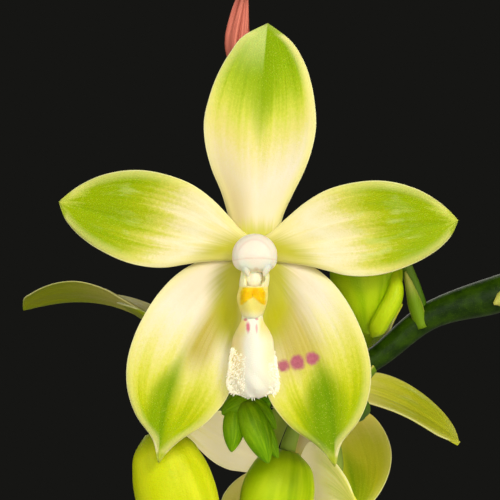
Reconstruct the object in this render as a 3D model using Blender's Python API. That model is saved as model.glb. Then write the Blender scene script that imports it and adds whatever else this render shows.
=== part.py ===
"""A cut spray of moth orchid standing in a plain glazed bottle vase, modelled in Blender.

The vase stands on z = 0 with its axis on the world's z axis. One arching stem leans in the neck,
rises, bends over to the left and carries five star-shaped blooms, four large buds counting one
withered bloom, and a cluster of small buds at its tip. The bloom at the front faces -y.

Shapes are worked out in millimetres and scaled to metres as each object is made.
"""

import math

import bmesh
import bpy
import numpy as np
from mathutils import Matrix, Vector

MM = 0.001
GAP = 0.3  # what two touching pieces keep between them

# Vase and water: radius and height pairs, from the foot up the outside
VASE_HEIGHT = 119.0
VASE_FLOOR = 4.6
WALL = 3.4
VASE_OUTSIDE = ((20.0, 0.0), (21.6, 1.4), (27.2, 9.0), (31.6, 21.0), (33.0, 34.0), (31.0, 48.0),
                (25.4, 62.0), (18.4, 75.0), (13.4, 86.0), (10.9, 96.0), (10.2, 105.0),
                (10.9, 112.0), (12.9, 116.4), (13.5, 117.7))
VASE_SIDES = 32
WATER_SIDES = 18
NECK_HEIGHT = 105.0
NECK_INSIDE = 10.2 - WALL
WATER_LEVEL = 70.0
WATER_CLEAR = 0.6

# The front bloom's centre in the world. Places of the other pieces are given from it, as
# (right, up, behind) for someone who looks at the front bloom.
FRONT = Vector((-100.0, -12.0, 222.0))

# Stem: straight from its cut end to the neck, then one smooth curve to the tip
STEM_RADIUS_IN_NECK = 2.6
STEM_FOOT = Vector((5.0, 0.0, VASE_FLOOR + 0.6))
STEM_AT_NECK = Vector((-(NECK_INSIDE - STEM_RADIUS_IN_NECK - 0.4), 0.0, NECK_HEIGHT))
STEM_RISE = ((-4.7, 0.0, 118.0), (-3.9, -0.4, 134.0), (-1.2, -1.2, 152.0), (1.4, -1.8, 170.0),
             (0.6, -1.9, 188.0), (-5.4, -1.4, 205.0), (-15.8, -0.6, 217.5), (-29.4, 0.2, 223.8),
             (-44.6, 0.8, 223.6))
STEM_ALONG_FLOWERS = ((35.5, -5.2, 13.0), (25.4, -8.4, 13.0), (16.6, -15.1, 13.0),
                      (7.8, -19.0, 12.0), (1.6, -20.4, 9.4))
STEM_RADII = ((0.0, 2.7), (0.3, 2.6), (0.55, 2.4), (0.75, 2.1), (0.84, 2.1), (0.878, 2.7),
              (0.905, 2.1), (0.93, 1.8), (0.96, 1.5), (1.0, 1.3))
STEM_STEP = 7.5
STEM_SIDES = 10

# Bracts: the small scale leaf at each node. Bare ones have no flower. Each of those is the share
# of the stem where it sits, and the way it stands out.
BRACT = {"length": 6.6, "width": 4.4, "lean": 14.0}
BRACT_SHAPE = ((0.0, 0.75), (0.35, 1.0), (0.7, 0.65), (0.9, 0.3), (1.0, 0.0))
BARE_BRACTS = ((0.47, (1.0, -0.4, 0.0)), (0.60, (-0.6, -0.4, 0.6)), (0.864, (0.0, -1.0, -0.35)))
OPEN_BRACT = {"foot": (24.1, -10.2, 11.4), "tip": (21.6, -2.0, 10.6), "width": 2.4}

# Tepal outlines: half-widths along the length on each side, as (share of length, millimetres)
DORSAL_LEFT = ((0.0, 3.0), (0.15, 3.95), (0.25, 5.0), (0.35, 6.5), (0.45, 7.5), (0.55, 7.85),
               (0.65, 7.35), (0.75, 6.4), (0.85, 4.9), (0.93, 3.2), (1.0, 0.0))
DORSAL_RIGHT = ((0.0, 3.0), (0.15, 3.75), (0.25, 5.1), (0.35, 6.55), (0.45, 7.55), (0.55, 7.95),
                (0.65, 7.6), (0.75, 6.8), (0.85, 5.4), (0.93, 3.4), (1.0, 0.0))
PETAL_UPPER = ((0.0, 1.6), (0.06, 2.3), (0.15, 3.9), (0.25, 5.6), (0.35, 6.8), (0.5, 7.4),
               (0.65, 7.0), (0.75, 6.0), (0.85, 4.35), (0.94, 2.1), (1.0, 0.0))
PETAL_LOWER = ((0.0, 1.5), (0.09, 2.1), (0.25, 3.5), (0.3, 4.1), (0.4, 5.3), (0.5, 5.85),
               (0.6, 5.85), (0.7, 5.35), (0.8, 4.5), (0.9, 3.05), (0.95, 1.9), (1.0, 0.0))
LATERAL_OUTER = ((0.0, 3.0), (0.12, 5.5), (0.2, 6.5), (0.3, 7.1), (0.4, 7.3), (0.5, 7.25),
                 (0.6, 6.8), (0.7, 5.65), (0.8, 3.6), (0.88, 1.2), (1.0, 0.0))
LATERAL_INNER = ((0.0, 1.0), (0.12, 3.3), (0.2, 5.2), (0.3, 6.4), (0.4, 7.2), (0.5, 8.0),
                 (0.6, 8.1), (0.7, 7.2), (0.8, 5.4), (0.88, 2.9), (0.94, 1.3), (1.0, 0.0))
BLADE_THICK = 0.75
TEPAL_ROWS, TEPAL_COLUMNS = 7, 4

# Each tepal: where its midrib starts in the flower's plane, its heading there and at its tip in
# degrees, its pitch out of the plane at both ends, its length, and how far its edges stand forward
TEPALS = {
    "dorsal": {"start": (0.0, 1.2, -0.7), "heading": (90.0, 84.0), "pitch": (6.0, -8.0),
               "length": 32.2, "cup": 1.5, "left": DORSAL_LEFT, "right": DORSAL_RIGHT},
    "petal_right": {"start": (0.85, 1.1, 0.0), "heading": (9.0, 8.3), "pitch": (14.0, -16.0),
                    "length": 28.4, "cup": 1.2, "left": PETAL_UPPER, "right": PETAL_LOWER},
    "petal_left": {"start": (-0.85, 1.1, 0.0), "heading": (165.8, 165.8), "pitch": (14.0, -16.0),
                   "length": 28.2, "cup": 1.2, "left": PETAL_LOWER, "right": PETAL_UPPER},
    "lateral_right": {"start": (1.2, -1.5, -0.7), "heading": (-50.0, -91.0),
                      "pitch": (10.0, -12.0), "length": 30.6, "cup": 1.3,
                      "left": LATERAL_OUTER, "right": LATERAL_INNER},
    "lateral_left": {"start": (-1.6, -1.7, -0.7), "heading": (222.0, 270.0),
                     "pitch": (10.0, -12.0), "length": 31.0, "cup": 1.3,
                     "left": LATERAL_INNER, "right": LATERAL_OUTER},
}

# Hub behind the tepals, column and lip, in the flower's frame: x right, y up, z to the front
HUB = ((0.0, 0.2), (2.4, 0.2), (3.1, -0.4), (3.1, -1.4), (2.1, -3.0), (0.0, -3.0))
HUB_BACK = 3.0
HUB_SIDES = 8
COLUMN_RINGS = ((0.2, 1.25, 1.9, 1.6), (0.4, 2.8, 2.1, 1.8), (0.5, 4.4, 2.6, 2.1),
                (0.5, 5.8, 3.1, 2.5), (0.2, 7.1, 2.6, 2.1), (-0.1, 7.9, 1.3, 1.1))
COLUMN_SIDES = 10
COLUMN_FOOT = {"centre": (0.0, -1.25, 3.0), "radii": (1.15, 1.2, 1.25)}
LIP_MIDLINE = ((-3.6, 2.4), (-4.4, 4.0), (-6.0, 5.0), (-8.4, 5.6), (-12.0, 6.6), (-16.0, 6.8),
               (-19.9, 5.2))
LIP_HALF = ((0.0, 1.2), (0.12, 1.5), (0.24, 1.4), (0.32, 1.35), (0.45, 2.3), (0.62, 3.0),
            (0.8, 3.6), (0.91, 3.7), (0.97, 2.9), (1.0, 1.5))
LIP_ROUNDING = -0.9
LIP_ROWS, LIP_COLUMNS = 8, 4
SIDE_LOBE = {"root": (1.25, -4.2, 3.2), "tip": (2.0, -5.6, 8.2), "half_width": 1.9}
CALLUS = {"centre": (0.0, -4.7, 5.3), "radii": (1.3, 1.5, 1.5)}

# Blooms: centre and facing as (right, up, behind) from the front bloom, roll in degrees, the share
# of the stem where the stalk leaves it, and via points of the stalk. pose holds how each tepal
# differs from the front bloom's: change of heading, of pitch at base and tip, and twist, in degrees.
BLOOMS = {
    "front": {"centre": (0.0, 0.0, 0.0), "facing": (0.0, 0.0, -1.0), "roll": 0.0,
              "node": 0.953, "via": ((6.0, -7.5, 10.6),), "pose": {}},
    "lower_right": {"centre": (6.1, -20.6, 64.1), "facing": (0.37, 0.97, -0.46), "roll": -46.1,
                    "node": 0.962, "lead": 5.0, "via": ((14.9, -22.4, 18.5), (12.9, -22.3, 35.2),
                                            (1.7, -35.1, 47.6)),
                    "pose": {"dorsal": (-9, 9, 14, 10), "petal_right": (-22, 12, 1, -5),
                             "petal_left": (8, 2, 0, 14), "lateral_right": (21, 0, -26, 28),
                             "lateral_left": (-23, 5, 22, -12)}},
    "lower": {"centre": (5.6, -34.5, 32.8), "facing": (-0.52, -0.07, -0.32), "roll": -11.0,
              "node": 0.962, "lead": 3.5, "via": ((15.8, -22.1, 20.3), (11.2, -24.2, 37.6)),
              "pose": {"dorsal": (-25, -23, -15, -28), "petal_right": (0, 4, 27, -3),
                       "petal_left": (-7, 8, 34, -31), "lateral_right": (-27, -22, 16, 10),
                       "lateral_left": (-16, 6, -30, -8)}},
    "left": {"centre": (-8.8, -13.6, 33.3), "facing": (0.65, 1.14, 0.14), "roll": -28.0,
             "node": 0.95, "via": ((6.1, -19.2, 15.5), (-6.3, -21.6, 19.2)),
             "pose": {"dorsal": (-15, 12, -34, -16), "petal_right": (-16, 11, 23, -21),
                      "petal_left": (22, -19, 15, 10), "lateral_right": (38, 11, 15, 23),
                      "lateral_left": (-29, 0, 15, 8)}},
    "arch": {"centre": (70.0, 18.5, -4.0), "facing": (0.34, 0.20, -0.92), "roll": -6.0,
             "node": 0.80, "via": ((66.0, 9.0, 9.0),),
             "pose": {"petal_right": (0, 2, 4, 5), "petal_left": (0, 2, 4, -5)}},
}
STALK_RADII = ((0.0, 1.25), (0.3, 1.1), (0.75, 1.3), (1.0, 1.7))
STALK_STEP = 4.0
STALK_SIDES = 6
STALK_LEAD = 8.5  # how far behind a bloom its stalk runs along the bloom's axis; "lead" gives another

# Buds: base and tip as (right, up, behind), widest diameter, node, and via points of the stalk
BUDS = {
    "bud_right": {"base": (15.5, 3.6, 7.6), "tip": (15.9, -10.9, 6.8), "width": 10.4,
                  "node": 0.914, "via": ((22.9, -4.1, 12.4), (21.6, -1.0, 11.2), (18.4, 6.4, 8.8))},
    "bud_lower_left": {"base": (-14.3, -25.1, 9.0), "tip": (-7.8, -47.2, 8.0), "width": 11.6,
                       "node": 0.982, "via": ((-7.0, -17.2, 9.4), (-15.0, -19.8, 8.9))},
    "bud_lower_middle": {"base": (4.6, -28.2, 15.0), "tip": (0.6, -43.9, 14.0), "width": 10.6,
                         "node": 0.976, "via": ((4.8, -21.8, 15.2),)},
}
BUD_STALK_RADII = ((0.0, 1.1), (0.5, 0.95), (1.0, 1.2))
BUD_SHAPE = ((0.0, 0.3), (0.08, 0.66), (0.22, 0.9), (0.4, 1.0), (0.62, 0.9), (0.82, 0.6),
             (0.94, 0.3), (1.0, 0.12))
BUD_ROWS, BUD_SIDES = 8, 12
BUD_RIDGE = 0.05  # three sepals meet in three low ridges
BUD_LEAD = 4.2

# Small buds at the stem's tip: base and tip as (right, up, behind), and widest diameter
TIP_BUDS = (((-2.9, -21.2, 7.2), (-3.5, -27.8, 5.8), 3.3), ((-1.6, -20.6, 6.0), (1.8, -29.4, 5.4), 4.2),
            ((-0.4, -20.4, 7.6), (2.9, -24.6, 7.2), 2.4), ((-1.6, -20.8, 8.0), (-0.6, -26.0, 9.4), 3.0),
            ((-0.8, -21.4, 6.4), (3.2, -28.7, 6.0), 2.8), ((-0.6, -20.2, 7.6), (-4.9, -22.4, 6.8), 3.6))
TIP_ROWS, TIP_SIDES = 5, 8
TIP_CORE = {"length": 3.6, "radius": 1.15}

# The withered bloom: its tepals have closed into one twisted, fluted spindle
SPENT_PATH = ((-1.1, 24.0, 8.2), (-2.5, 30.0, 7.4), (-2.3, 35.0, 7.2), (-1.5, 40.0, 7.6))
SPENT_RADII = ((0.0, 0.7), (0.2, 1.35), (0.45, 1.65), (0.7, 1.2), (0.9, 0.6), (1.0, 0.3))
SPENT = {"node": 0.948, "via": ((5.6, -8.6, 17.2), (1.4, 6.0, 15.6))}
SPENT_ROWS, SPENT_SIDES = 8, 10
SPENT_FLUTES, SPENT_FLUTE_DEPTH, SPENT_TWIST = 5, 0.14, 70.0


def world(place):
    """The world point of a place given as (right, up, behind) from the front bloom."""
    right, up, behind = place
    return FRONT + Vector((right, behind, up))


def direction(way):
    """The world direction of (right, up, behind)."""
    right, up, behind = way
    return Vector((right, behind, up)).normalized()


def eased(table, at):
    """Values read smoothly from a few (position, value) pairs."""
    x, y = np.array(table, float).T
    slope = np.gradient(y, x)
    i = np.clip(np.searchsorted(x, at) - 1, 0, len(x) - 2)
    step = x[i + 1] - x[i]
    t = (np.asarray(at) - x[i]) / step
    start = (1 + 2 * t) * (1 - t) ** 2 * y[i] + t * (1 - t) ** 2 * step * slope[i]
    end = t * t * (3 - 2 * t) * y[i + 1] + t * t * (t - 1) * step * slope[i + 1]
    return start + end


def smooth_path(points, step):
    """Points about `step` apart on one smooth curve through the given ones."""
    given = np.array([list(p) for p in points], float)
    run = np.concatenate([[0], np.cumsum(np.linalg.norm(np.diff(given, axis=0), axis=1))])
    at = np.linspace(0, run[-1], max(3, round(run[-1] / step) + 1))
    return np.stack([eased(tuple(zip(run, given[:, k])), at) for k in range(3)], axis=1)


def material(name, colour, roughness):
    made = bpy.data.materials.new(name)
    made.use_nodes = True
    shader = made.node_tree.nodes["Principled BSDF"]
    shader.inputs["Base Color"].default_value = (*colour, 1.0)
    shader.inputs["Roughness"].default_value = roughness
    shader.inputs["Metallic"].default_value = 0.0
    return made


def mesh_object(name, bm):
    """An object from a bmesh, which is freed, with its faces turned outwards."""
    bmesh.ops.recalc_face_normals(bm, faces=bm.faces)
    mesh = bpy.data.meshes.new(name)
    bm.to_mesh(mesh)
    bm.free()
    obj = bpy.data.objects.new(name, mesh)
    bpy.context.scene.collection.objects.link(obj)
    return obj


def loft(name, rings):
    """A closed solid through rings that hold the same number of points, capped at both ends."""
    bm = bmesh.new()
    rows = [[bm.verts.new(p) for p in ring] for ring in rings]
    count = len(rows[0])
    for near, far in zip(rows, rows[1:]):
        for i in range(count):
            j = (i + 1) % count
            bm.faces.new((near[i], near[j], far[j], far[i]))
    bm.faces.new(reversed(rows[0]))
    bm.faces.new(rows[-1])
    bmesh.ops.triangulate(bm, faces=bm.faces, quad_method="FIXED")
    return mesh_object(name, bm)


def turned(name, profile, sides):
    """A solid of revolution about z. The profile starts and ends on the axis."""
    bm = bmesh.new()
    verts = [bm.verts.new((radius, 0.0, height)) for radius, height in profile]
    edges = [bm.edges.new(pair) for pair in zip(verts, verts[1:])]
    bmesh.ops.spin(bm, geom=verts + edges, cent=(0, 0, 0), axis=(0, 0, 1), steps=sides,
                   angle=math.tau, use_merge=True)
    bmesh.ops.remove_doubles(bm, verts=bm.verts, dist=1e-4)
    bmesh.ops.triangulate(bm, faces=bm.faces)
    return mesh_object(name, bm)


def ellipsoid(name, centre, radii, rows=5, sides=8):
    bm = bmesh.new()
    bmesh.ops.create_uvsphere(bm, u_segments=sides, v_segments=rows, radius=1.0)
    bmesh.ops.scale(bm, vec=radii, verts=bm.verts)
    bmesh.ops.translate(bm, vec=centre, verts=bm.verts)
    return mesh_object(name, bm)


def blade(name, grid, thick):
    """A thin closed solid about a grid of points. Both faces are split into the same triangles."""
    bm = bmesh.new()
    rows = [[bm.verts.new(p) for p in row] for row in grid]
    for near, far in zip(rows, rows[1:]):
        for i in range(len(near) - 1):
            bm.faces.new((near[i], near[i + 1], far[i + 1], far[i]))
    bmesh.ops.remove_doubles(bm, verts=bm.verts, dist=1e-3)
    bmesh.ops.triangulate(bm, faces=bm.faces, quad_method="FIXED")
    obj = mesh_object(name, bm)
    solidify = obj.modifiers.new("Thickness", "SOLIDIFY")
    solidify.thickness = thick
    solidify.offset = 0.0
    return settle(obj)


def settle(obj):
    """Applies an object's modifiers to its mesh."""
    graph = bpy.context.evaluated_depsgraph_get()
    graph.update()
    done = bpy.data.meshes.new_from_object(obj.evaluated_get(graph))
    obj.modifiers.clear()
    obj.data = done
    return obj


def tube(name, points, radii, sides):
    """A round bar along a path, from a bevelled curve. radii is a table over the path's length."""
    curve = bpy.data.curves.new(name, "CURVE")
    curve.dimensions = "3D"
    curve.bevel_depth = 1.0
    curve.bevel_resolution = (sides - 4) // 2
    curve.use_fill_caps = True
    spline = curve.splines.new("POLY")
    spline.points.add(len(points) - 1)
    run = np.concatenate([[0], np.cumsum(np.linalg.norm(np.diff(points, axis=0), axis=1))])
    for place, share, point in zip(points, run / run[-1], spline.points):
        point.co = (*place, 1.0)
        point.radius = float(eased(radii, share))
    guide = bpy.data.objects.new(name + "_path", curve)
    bpy.context.scene.collection.objects.link(guide)
    graph = bpy.context.evaluated_depsgraph_get()
    bm = bmesh.new()
    made = bpy.data.meshes.new_from_object(guide.evaluated_get(graph))
    bm.from_mesh(made)
    bmesh.ops.remove_doubles(bm, verts=bm.verts, dist=1e-4)
    bpy.data.objects.remove(guide)
    bpy.data.meshes.remove(made)
    return mesh_object(name, bm)


def combine(body, others, operation="UNION"):
    """Joins other objects to this one, or cuts them from it, and removes them."""
    helpers = bpy.data.collections.new(body.name + "_pieces")
    bpy.context.scene.collection.children.link(helpers)
    for other in others:
        bpy.context.scene.collection.objects.unlink(other)
        helpers.objects.link(other)
    boolean = body.modifiers.new("Combine", "BOOLEAN")
    boolean.operation = operation
    boolean.operand_type = "COLLECTION"
    boolean.collection = helpers
    settle(body)
    for other in others:
        bpy.data.objects.remove(other)
    bpy.data.collections.remove(helpers)
    return body


def finish(obj, name, made_of, placement=None):
    """Names an object, scales it from millimetres to metres, and puts it in its place."""
    obj.name = name
    obj.data.name = name
    obj.data.transform(Matrix.Scale(MM, 4))
    obj.data.materials.clear()
    obj.data.materials.append(made_of)
    obj.data.shade_smooth()
    obj.data.set_sharp_from_angle(angle=math.radians(40))
    if placement is not None:
        obj.parent = placement
    return obj


def posed(tepal, change):
    """A tepal with a bloom's own change of heading, base pitch, tip pitch and twist, in degrees."""
    turn, base, tip, twist = change
    first, last = tepal["heading"]
    near, far = tepal["pitch"]
    return {**tepal, "heading": (first + turn * 0.5, last + turn),
            "pitch": (near + base, far + tip), "twist": twist}


def tepal_grid(tepal, rows, columns):
    """Points of a tepal's middle surface in the flower's frame, from base to tip."""
    fine = 64
    share = (np.arange(fine) + 0.5) / fine
    heading = np.radians(np.interp(share, (0, 1), tepal["heading"]))
    pitch = np.radians(np.interp(share, (0, 1), tepal["pitch"]))
    ahead = np.stack([np.cos(heading) * np.cos(pitch), np.sin(heading) * np.cos(pitch),
                      np.sin(pitch)], axis=1)
    line = np.concatenate([np.zeros((1, 3)), np.cumsum(ahead, axis=0) * tepal["length"] / fine])
    grid = []
    for u in np.linspace(0, 1, rows + 1) ** 0.9:
        spot = np.array([np.interp(u * fine, range(fine + 1), line[:, k]) for k in range(3)])
        turn = math.radians(np.interp(u, (0, 1), tepal["heading"]))
        tilt = math.radians(np.interp(u, (0, 1), tepal["pitch"]))
        twist = math.radians(tepal["twist"] * np.interp(u, (0, 0.35, 1), (0, 0.6, 1)))
        flat = np.array([-math.sin(turn), math.cos(turn), 0.0])
        up = np.array([-math.cos(turn) * math.sin(tilt), -math.sin(turn) * math.sin(tilt),
                       math.cos(tilt)])
        side = flat * math.cos(twist) + up * math.sin(twist)
        front = up * math.cos(twist) - flat * math.sin(twist)
        row = []
        for v in np.linspace(-1, 1, columns + 1):
            half = max(0.0, float(eased(tepal["left"] if v > 0 else tepal["right"], u)))
            cup = tepal["cup"] * v * v * min(1.0, 2.5 * u) * half / 7
            row.append(np.array(tepal["start"]) + spot + side * v * half + front * cup)
        grid.append(row)
    return grid


def bloom_tepals(name, pose):
    """Three sepals and two petals, grown together with the hub behind them."""
    hub = turned(name, HUB, HUB_SIDES)
    blades = [blade(f"{name}_{part}", tepal_grid(posed(tepal, pose.get(part, (0, 0, 0, 0))),
                                                 TEPAL_ROWS, TEPAL_COLUMNS), BLADE_THICK)
              for part, tepal in TEPALS.items()]
    return combine(hub, blades)


def bloom_column(name):
    """The white column that stands forward from the middle, with its foot below it."""
    angles = [math.tau * i / COLUMN_SIDES for i in range(COLUMN_SIDES)]
    rings = [[(wide * math.cos(a), y + high * math.sin(a), z) for a in angles]
             for y, z, wide, high in COLUMN_RINGS]
    column = loft(name, rings)
    return combine(column, [ellipsoid(name + "_foot", COLUMN_FOOT["centre"], COLUMN_FOOT["radii"])])


def side_lobe(name, side):
    """One of the two ears that stand up beside the lip's base."""
    root, tip = (np.array(SIDE_LOBE[end]) * (side, 1, 1) for end in ("root", "tip"))
    grid = []
    for u in np.linspace(0, 1, 4):
        half = SIDE_LOBE["half_width"] * math.cos(math.pi / 2 * max(0.0, u - 0.35) / 0.68)
        middle = root + (tip - root) * u
        grid.append([middle + np.array((0.15 * side, v * half, -0.3 * v * half))
                     for v in (-1, 0, 1)])
    return blade(name, grid, BLADE_THICK)


def bloom_lip(name):
    """The lip: a drooping blade, two side lobes and a callus between them."""
    midline = smooth_path([(0.0, y, z) for y, z in LIP_MIDLINE], 0.4)
    grid = []
    for share in np.linspace(0, 1, LIP_ROWS + 1):
        at = share * (len(midline) - 1)
        middle = np.array([np.interp(at, range(len(midline)), midline[:, k]) for k in range(3)])
        half = float(eased(LIP_HALF, share))
        rounding = LIP_ROUNDING * min(1.0, share * 2)
        grid.append([middle + np.array((v * half, 0.0, rounding * v * v))
                     for v in np.linspace(-1, 1, LIP_COLUMNS + 1)])
    lip = blade(name, grid, BLADE_THICK + 0.25)
    callus = ellipsoid(name + "_callus", CALLUS["centre"], CALLUS["radii"])
    return combine(lip, [callus, side_lobe(name + "_l", -1), side_lobe(name + "_r", 1)])


def frame_of(centre, facing, roll):
    """An empty whose z axis is where the flower faces and whose y axis is the flower's top."""
    z = direction(facing)
    up = Vector((0, 0, 1))
    y = (up - z * up.dot(z)).normalized()
    y.rotate(Matrix.Rotation(math.radians(roll), 3, z))
    x = y.cross(z)
    empty = bpy.data.objects.new("placement", None)
    bpy.context.scene.collection.objects.link(empty)
    turn = Matrix((x, y, z)).transposed().to_4x4()
    empty.matrix_world = Matrix.Translation(world(centre) * MM) @ turn
    return empty


def stalk(name, stem, bearer, end, facing, lead, radii):
    """A flower stalk: from the stem's middle, by its via points, to the back of what it bears."""
    root = along_stem(stem, bearer["node"])
    way = direction(facing)
    last = world(end) - way * GAP
    points = [root, *(world(v) for v in bearer["via"]), world(end) - way * lead, last - way]
    path = np.vstack([smooth_path(points, STALK_STEP), last])
    return tube(name, path, radii, STALK_SIDES)


def along_stem(stem, share):
    """The point at a share of the stem's length."""
    at = share * (len(stem) - 1)
    return Vector([float(np.interp(at, range(len(stem)), stem[:, k])) for k in range(3)])


def bract(name, foot, tip, out, width):
    """A small pointed scale leaf from foot to tip, hollow towards the stem."""
    ahead = (tip - foot).normalized()
    across = ahead.cross(out).normalized()
    grid = []
    for u in np.linspace(0, 1, 5):
        half = width / 2 * float(eased(BRACT_SHAPE, u))
        back = -0.4 * half * out
        grid.append([foot.lerp(tip, u) + back * abs(v) + across * half * v for v in (-1, 0, 1)])
    return blade(name, grid, 0.8)


def node_bract(name, stem, node, away):
    """The bract at a node, which lies along the stem on the side it is turned to."""
    root = along_stem(stem, node)
    along = (along_stem(stem, min(node + 0.03, 1.0)) - along_stem(stem, node - 0.03)).normalized()
    out = (away - along * away.dot(along)).normalized()
    lean = math.radians(BRACT["lean"])
    foot = root - along * 1.2 + out * 1.5
    tip = foot + (along * math.cos(lean) + out * math.sin(lean)) * BRACT["length"]
    return bract(name, foot, tip, out, BRACT["width"])


def bud_rings(base, tip, width, rows, sides, shape, ridge):
    """Rings of an egg-shaped bud with three low ridges, from its base to its tip."""
    axis = (tip - base).normalized()
    side = axis.orthogonal().normalized()
    other = axis.cross(side)
    rings = []
    for share in np.linspace(0, 1, rows + 1):
        middle = base.lerp(tip, share)
        radius = width / 2 * float(eased(shape, share))
        ring = []
        for i in range(sides):
            a = math.tau * i / sides
            swell = radius * (1 + ridge * math.cos(3 * a))
            ring.append(middle + side * swell * math.cos(a) + other * swell * math.sin(a))
        rings.append(ring)
    return rings


def spent_rings():
    """Rings of the withered bloom: a fluted section that turns as it goes up."""
    line = smooth_path([world(p) for p in SPENT_PATH], 1.0)
    rings = []
    for share in np.linspace(0, 1, SPENT_ROWS + 1):
        at = share * (len(line) - 1)
        middle = Vector([np.interp(at, range(len(line)), line[:, k]) for k in range(3)])
        radius = float(eased(SPENT_RADII, share))
        turn = math.radians(SPENT_TWIST) * share
        ring = []
        for i in range(SPENT_SIDES):
            a = math.tau * i / SPENT_SIDES
            flute = radius * (1 + SPENT_FLUTE_DEPTH * math.cos(SPENT_FLUTES * a))
            ring.append(middle + Vector((flute * math.cos(a + turn), flute * math.sin(a + turn), 0)))
        rings.append(ring)
    return rings


def vase_profiles():
    """The vase's outer profile up to the rim, and its inner one from the rim down to the floor."""
    rim = [(12.9, VASE_HEIGHT - 0.3), (11.7, VASE_HEIGHT), (10.5, VASE_HEIGHT - 0.6)]
    wall = [(r - WALL, h) for r, h in reversed(VASE_OUTSIDE) if VASE_FLOOR + 3 < h < VASE_HEIGHT - 5]
    floor = [(19.5, VASE_FLOOR + 0.9), (16.0, VASE_FLOOR), (0.0, VASE_FLOOR)]
    return [(0.0, 0.0), *VASE_OUTSIDE], [*rim, *wall, *floor]


def vase(glaze):
    outer, inner = vase_profiles()
    return finish(turned("vase", outer + inner, VASE_SIDES), "vase", glaze)


def water(liquid):
    """The water in the vase, with a plain hole where the stem stands in it."""
    inner = vase_profiles()[1]
    radii, heights = zip(*reversed(inner))
    top = float(np.interp(WATER_LEVEL, heights, radii)) - WATER_CLEAR
    below = [(max(0.0, r - WATER_CLEAR), h + GAP) for r, h in inner if h < WATER_LEVEL - 3]
    body = turned("water", [(0.0, WATER_LEVEL), (top, WATER_LEVEL), *below], WATER_SIDES)
    lean = (STEM_AT_NECK - STEM_FOOT).normalized()
    cutter = tube("stem_hole", np.array([STEM_FOOT - lean * 12, STEM_FOOT, STEM_AT_NECK]),
                  ((0.0, 2.7 + GAP), (1.0, 2.7 + GAP)), STEM_SIDES)
    return finish(combine(body, [cutter], "DIFFERENCE"), "water", liquid)


def main():
    for obj in list(bpy.data.objects):
        bpy.data.objects.remove(obj)
    glaze = material("vase_glaze", (0.72, 0.70, 0.66), 0.28)
    liquid = material("water", (0.80, 0.88, 0.88), 0.05)
    green = material("stem_green", (0.10, 0.20, 0.02), 0.45)
    tepal_colour = material("tepal", (0.72, 0.76, 0.30), 0.45)
    ivory = material("column", (0.92, 0.88, 0.78), 0.4)
    cream = material("lip", (0.92, 0.85, 0.55), 0.5)
    bud_green = material("bud", (0.38, 0.60, 0.04), 0.42)
    rust = material("withered", (0.42, 0.10, 0.07), 0.6)

    vase(glaze)
    water(liquid)

    straight = [STEM_FOOT.lerp(STEM_AT_NECK, s) for s in np.linspace(0, 1, 5)]
    curve = [Vector(p) for p in STEM_RISE] + [world(p) for p in STEM_ALONG_FLOWERS]
    stem = smooth_path([*straight, *curve], STEM_STEP)
    grown = []
    for name, bloom in BLOOMS.items():
        placement = frame_of(bloom["centre"], bloom["facing"], bloom["roll"])
        placement.name = f"bloom_{name}_placement"
        finish(bloom_tepals(name, bloom["pose"]), f"bloom_{name}_tepals", tepal_colour, placement)
        finish(bloom_column(name), f"bloom_{name}_column", ivory, placement)
        finish(bloom_lip(name), f"bloom_{name}_lip", cream, placement)
        back = Vector(bloom["centre"]) - Vector(bloom["facing"]).normalized() * HUB_BACK
        grown.append(stalk(name, stem, bloom, back, bloom["facing"], bloom.get("lead", STALK_LEAD),
                           STALK_RADII))
        grown.append(node_bract(name + "_bract", stem, bloom["node"], Vector((0, 0, -1))))
    for name, bud in BUDS.items():
        base, tip = Vector(bud["base"]), Vector(bud["tip"])
        rings = bud_rings(world(base), world(tip), bud["width"], BUD_ROWS, BUD_SIDES, BUD_SHAPE,
                          BUD_RIDGE)
        finish(loft(name, rings), name, bud_green)
        grown.append(stalk(name + "_stalk", stem, bud, base, tip - base, BUD_LEAD,
                           BUD_STALK_RADII))
    grown.append(bract("open_bract", world(OPEN_BRACT["foot"]), world(OPEN_BRACT["tip"]),
                       Vector((0.0, -1.0, 0.0)), OPEN_BRACT["width"]))
    for i, (node, away) in enumerate(BARE_BRACTS):
        grown.append(node_bract(f"bare_bract_{i}", stem, node, Vector(away)))
    spent = [Vector(p) for p in SPENT_PATH]
    finish(loft("spent", spent_rings()), "spent_bloom", rust)
    grown.append(stalk("spent_stalk", stem, SPENT, spent[0], (0, 1, 0), BUD_LEAD,
                       BUD_STALK_RADII))

    tip_end, tip_way = Vector(stem[-1]), Vector(stem[-1] - stem[-2]).normalized()
    core = tube("core", np.array([tip_end + tip_way * (GAP + s * TIP_CORE["length"])
                                  for s in (0, 0.5, 1)]), ((0, TIP_CORE["radius"]), (1, 1.1)), 8)
    small = [loft(f"tip_{i}", bud_rings(world(base), world(tip), width, TIP_ROWS, TIP_SIDES,
                                        BUD_SHAPE, 0.0))
             for i, (base, tip, width) in enumerate(TIP_BUDS)]
    finish(combine(core, small), "tip_buds", bud_green)

    body = tube("stem", stem, STEM_RADII, STEM_SIDES)
    finish(combine(body, grown), "flower_stem", green)


main()
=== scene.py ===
# %% [markdown]
# # A cut spray of moth orchid in a bottle vase
# The flower is the green and cream, star-shaped kind of moth orchid. One cut stem stands in a plain
# bottle and arches over, and its blooms, buds and scale leaves hang from it. This lesson dresses the
# plain solids of the spray: each step says what the real thing is like, how it could be made, and
# why one way was chosen. Lengths are worked out in millimetres and turned into metres at the end.

# %% Load the plain solids
import math

import bpy
import numpy as np
from mathutils import Matrix, Vector

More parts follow.
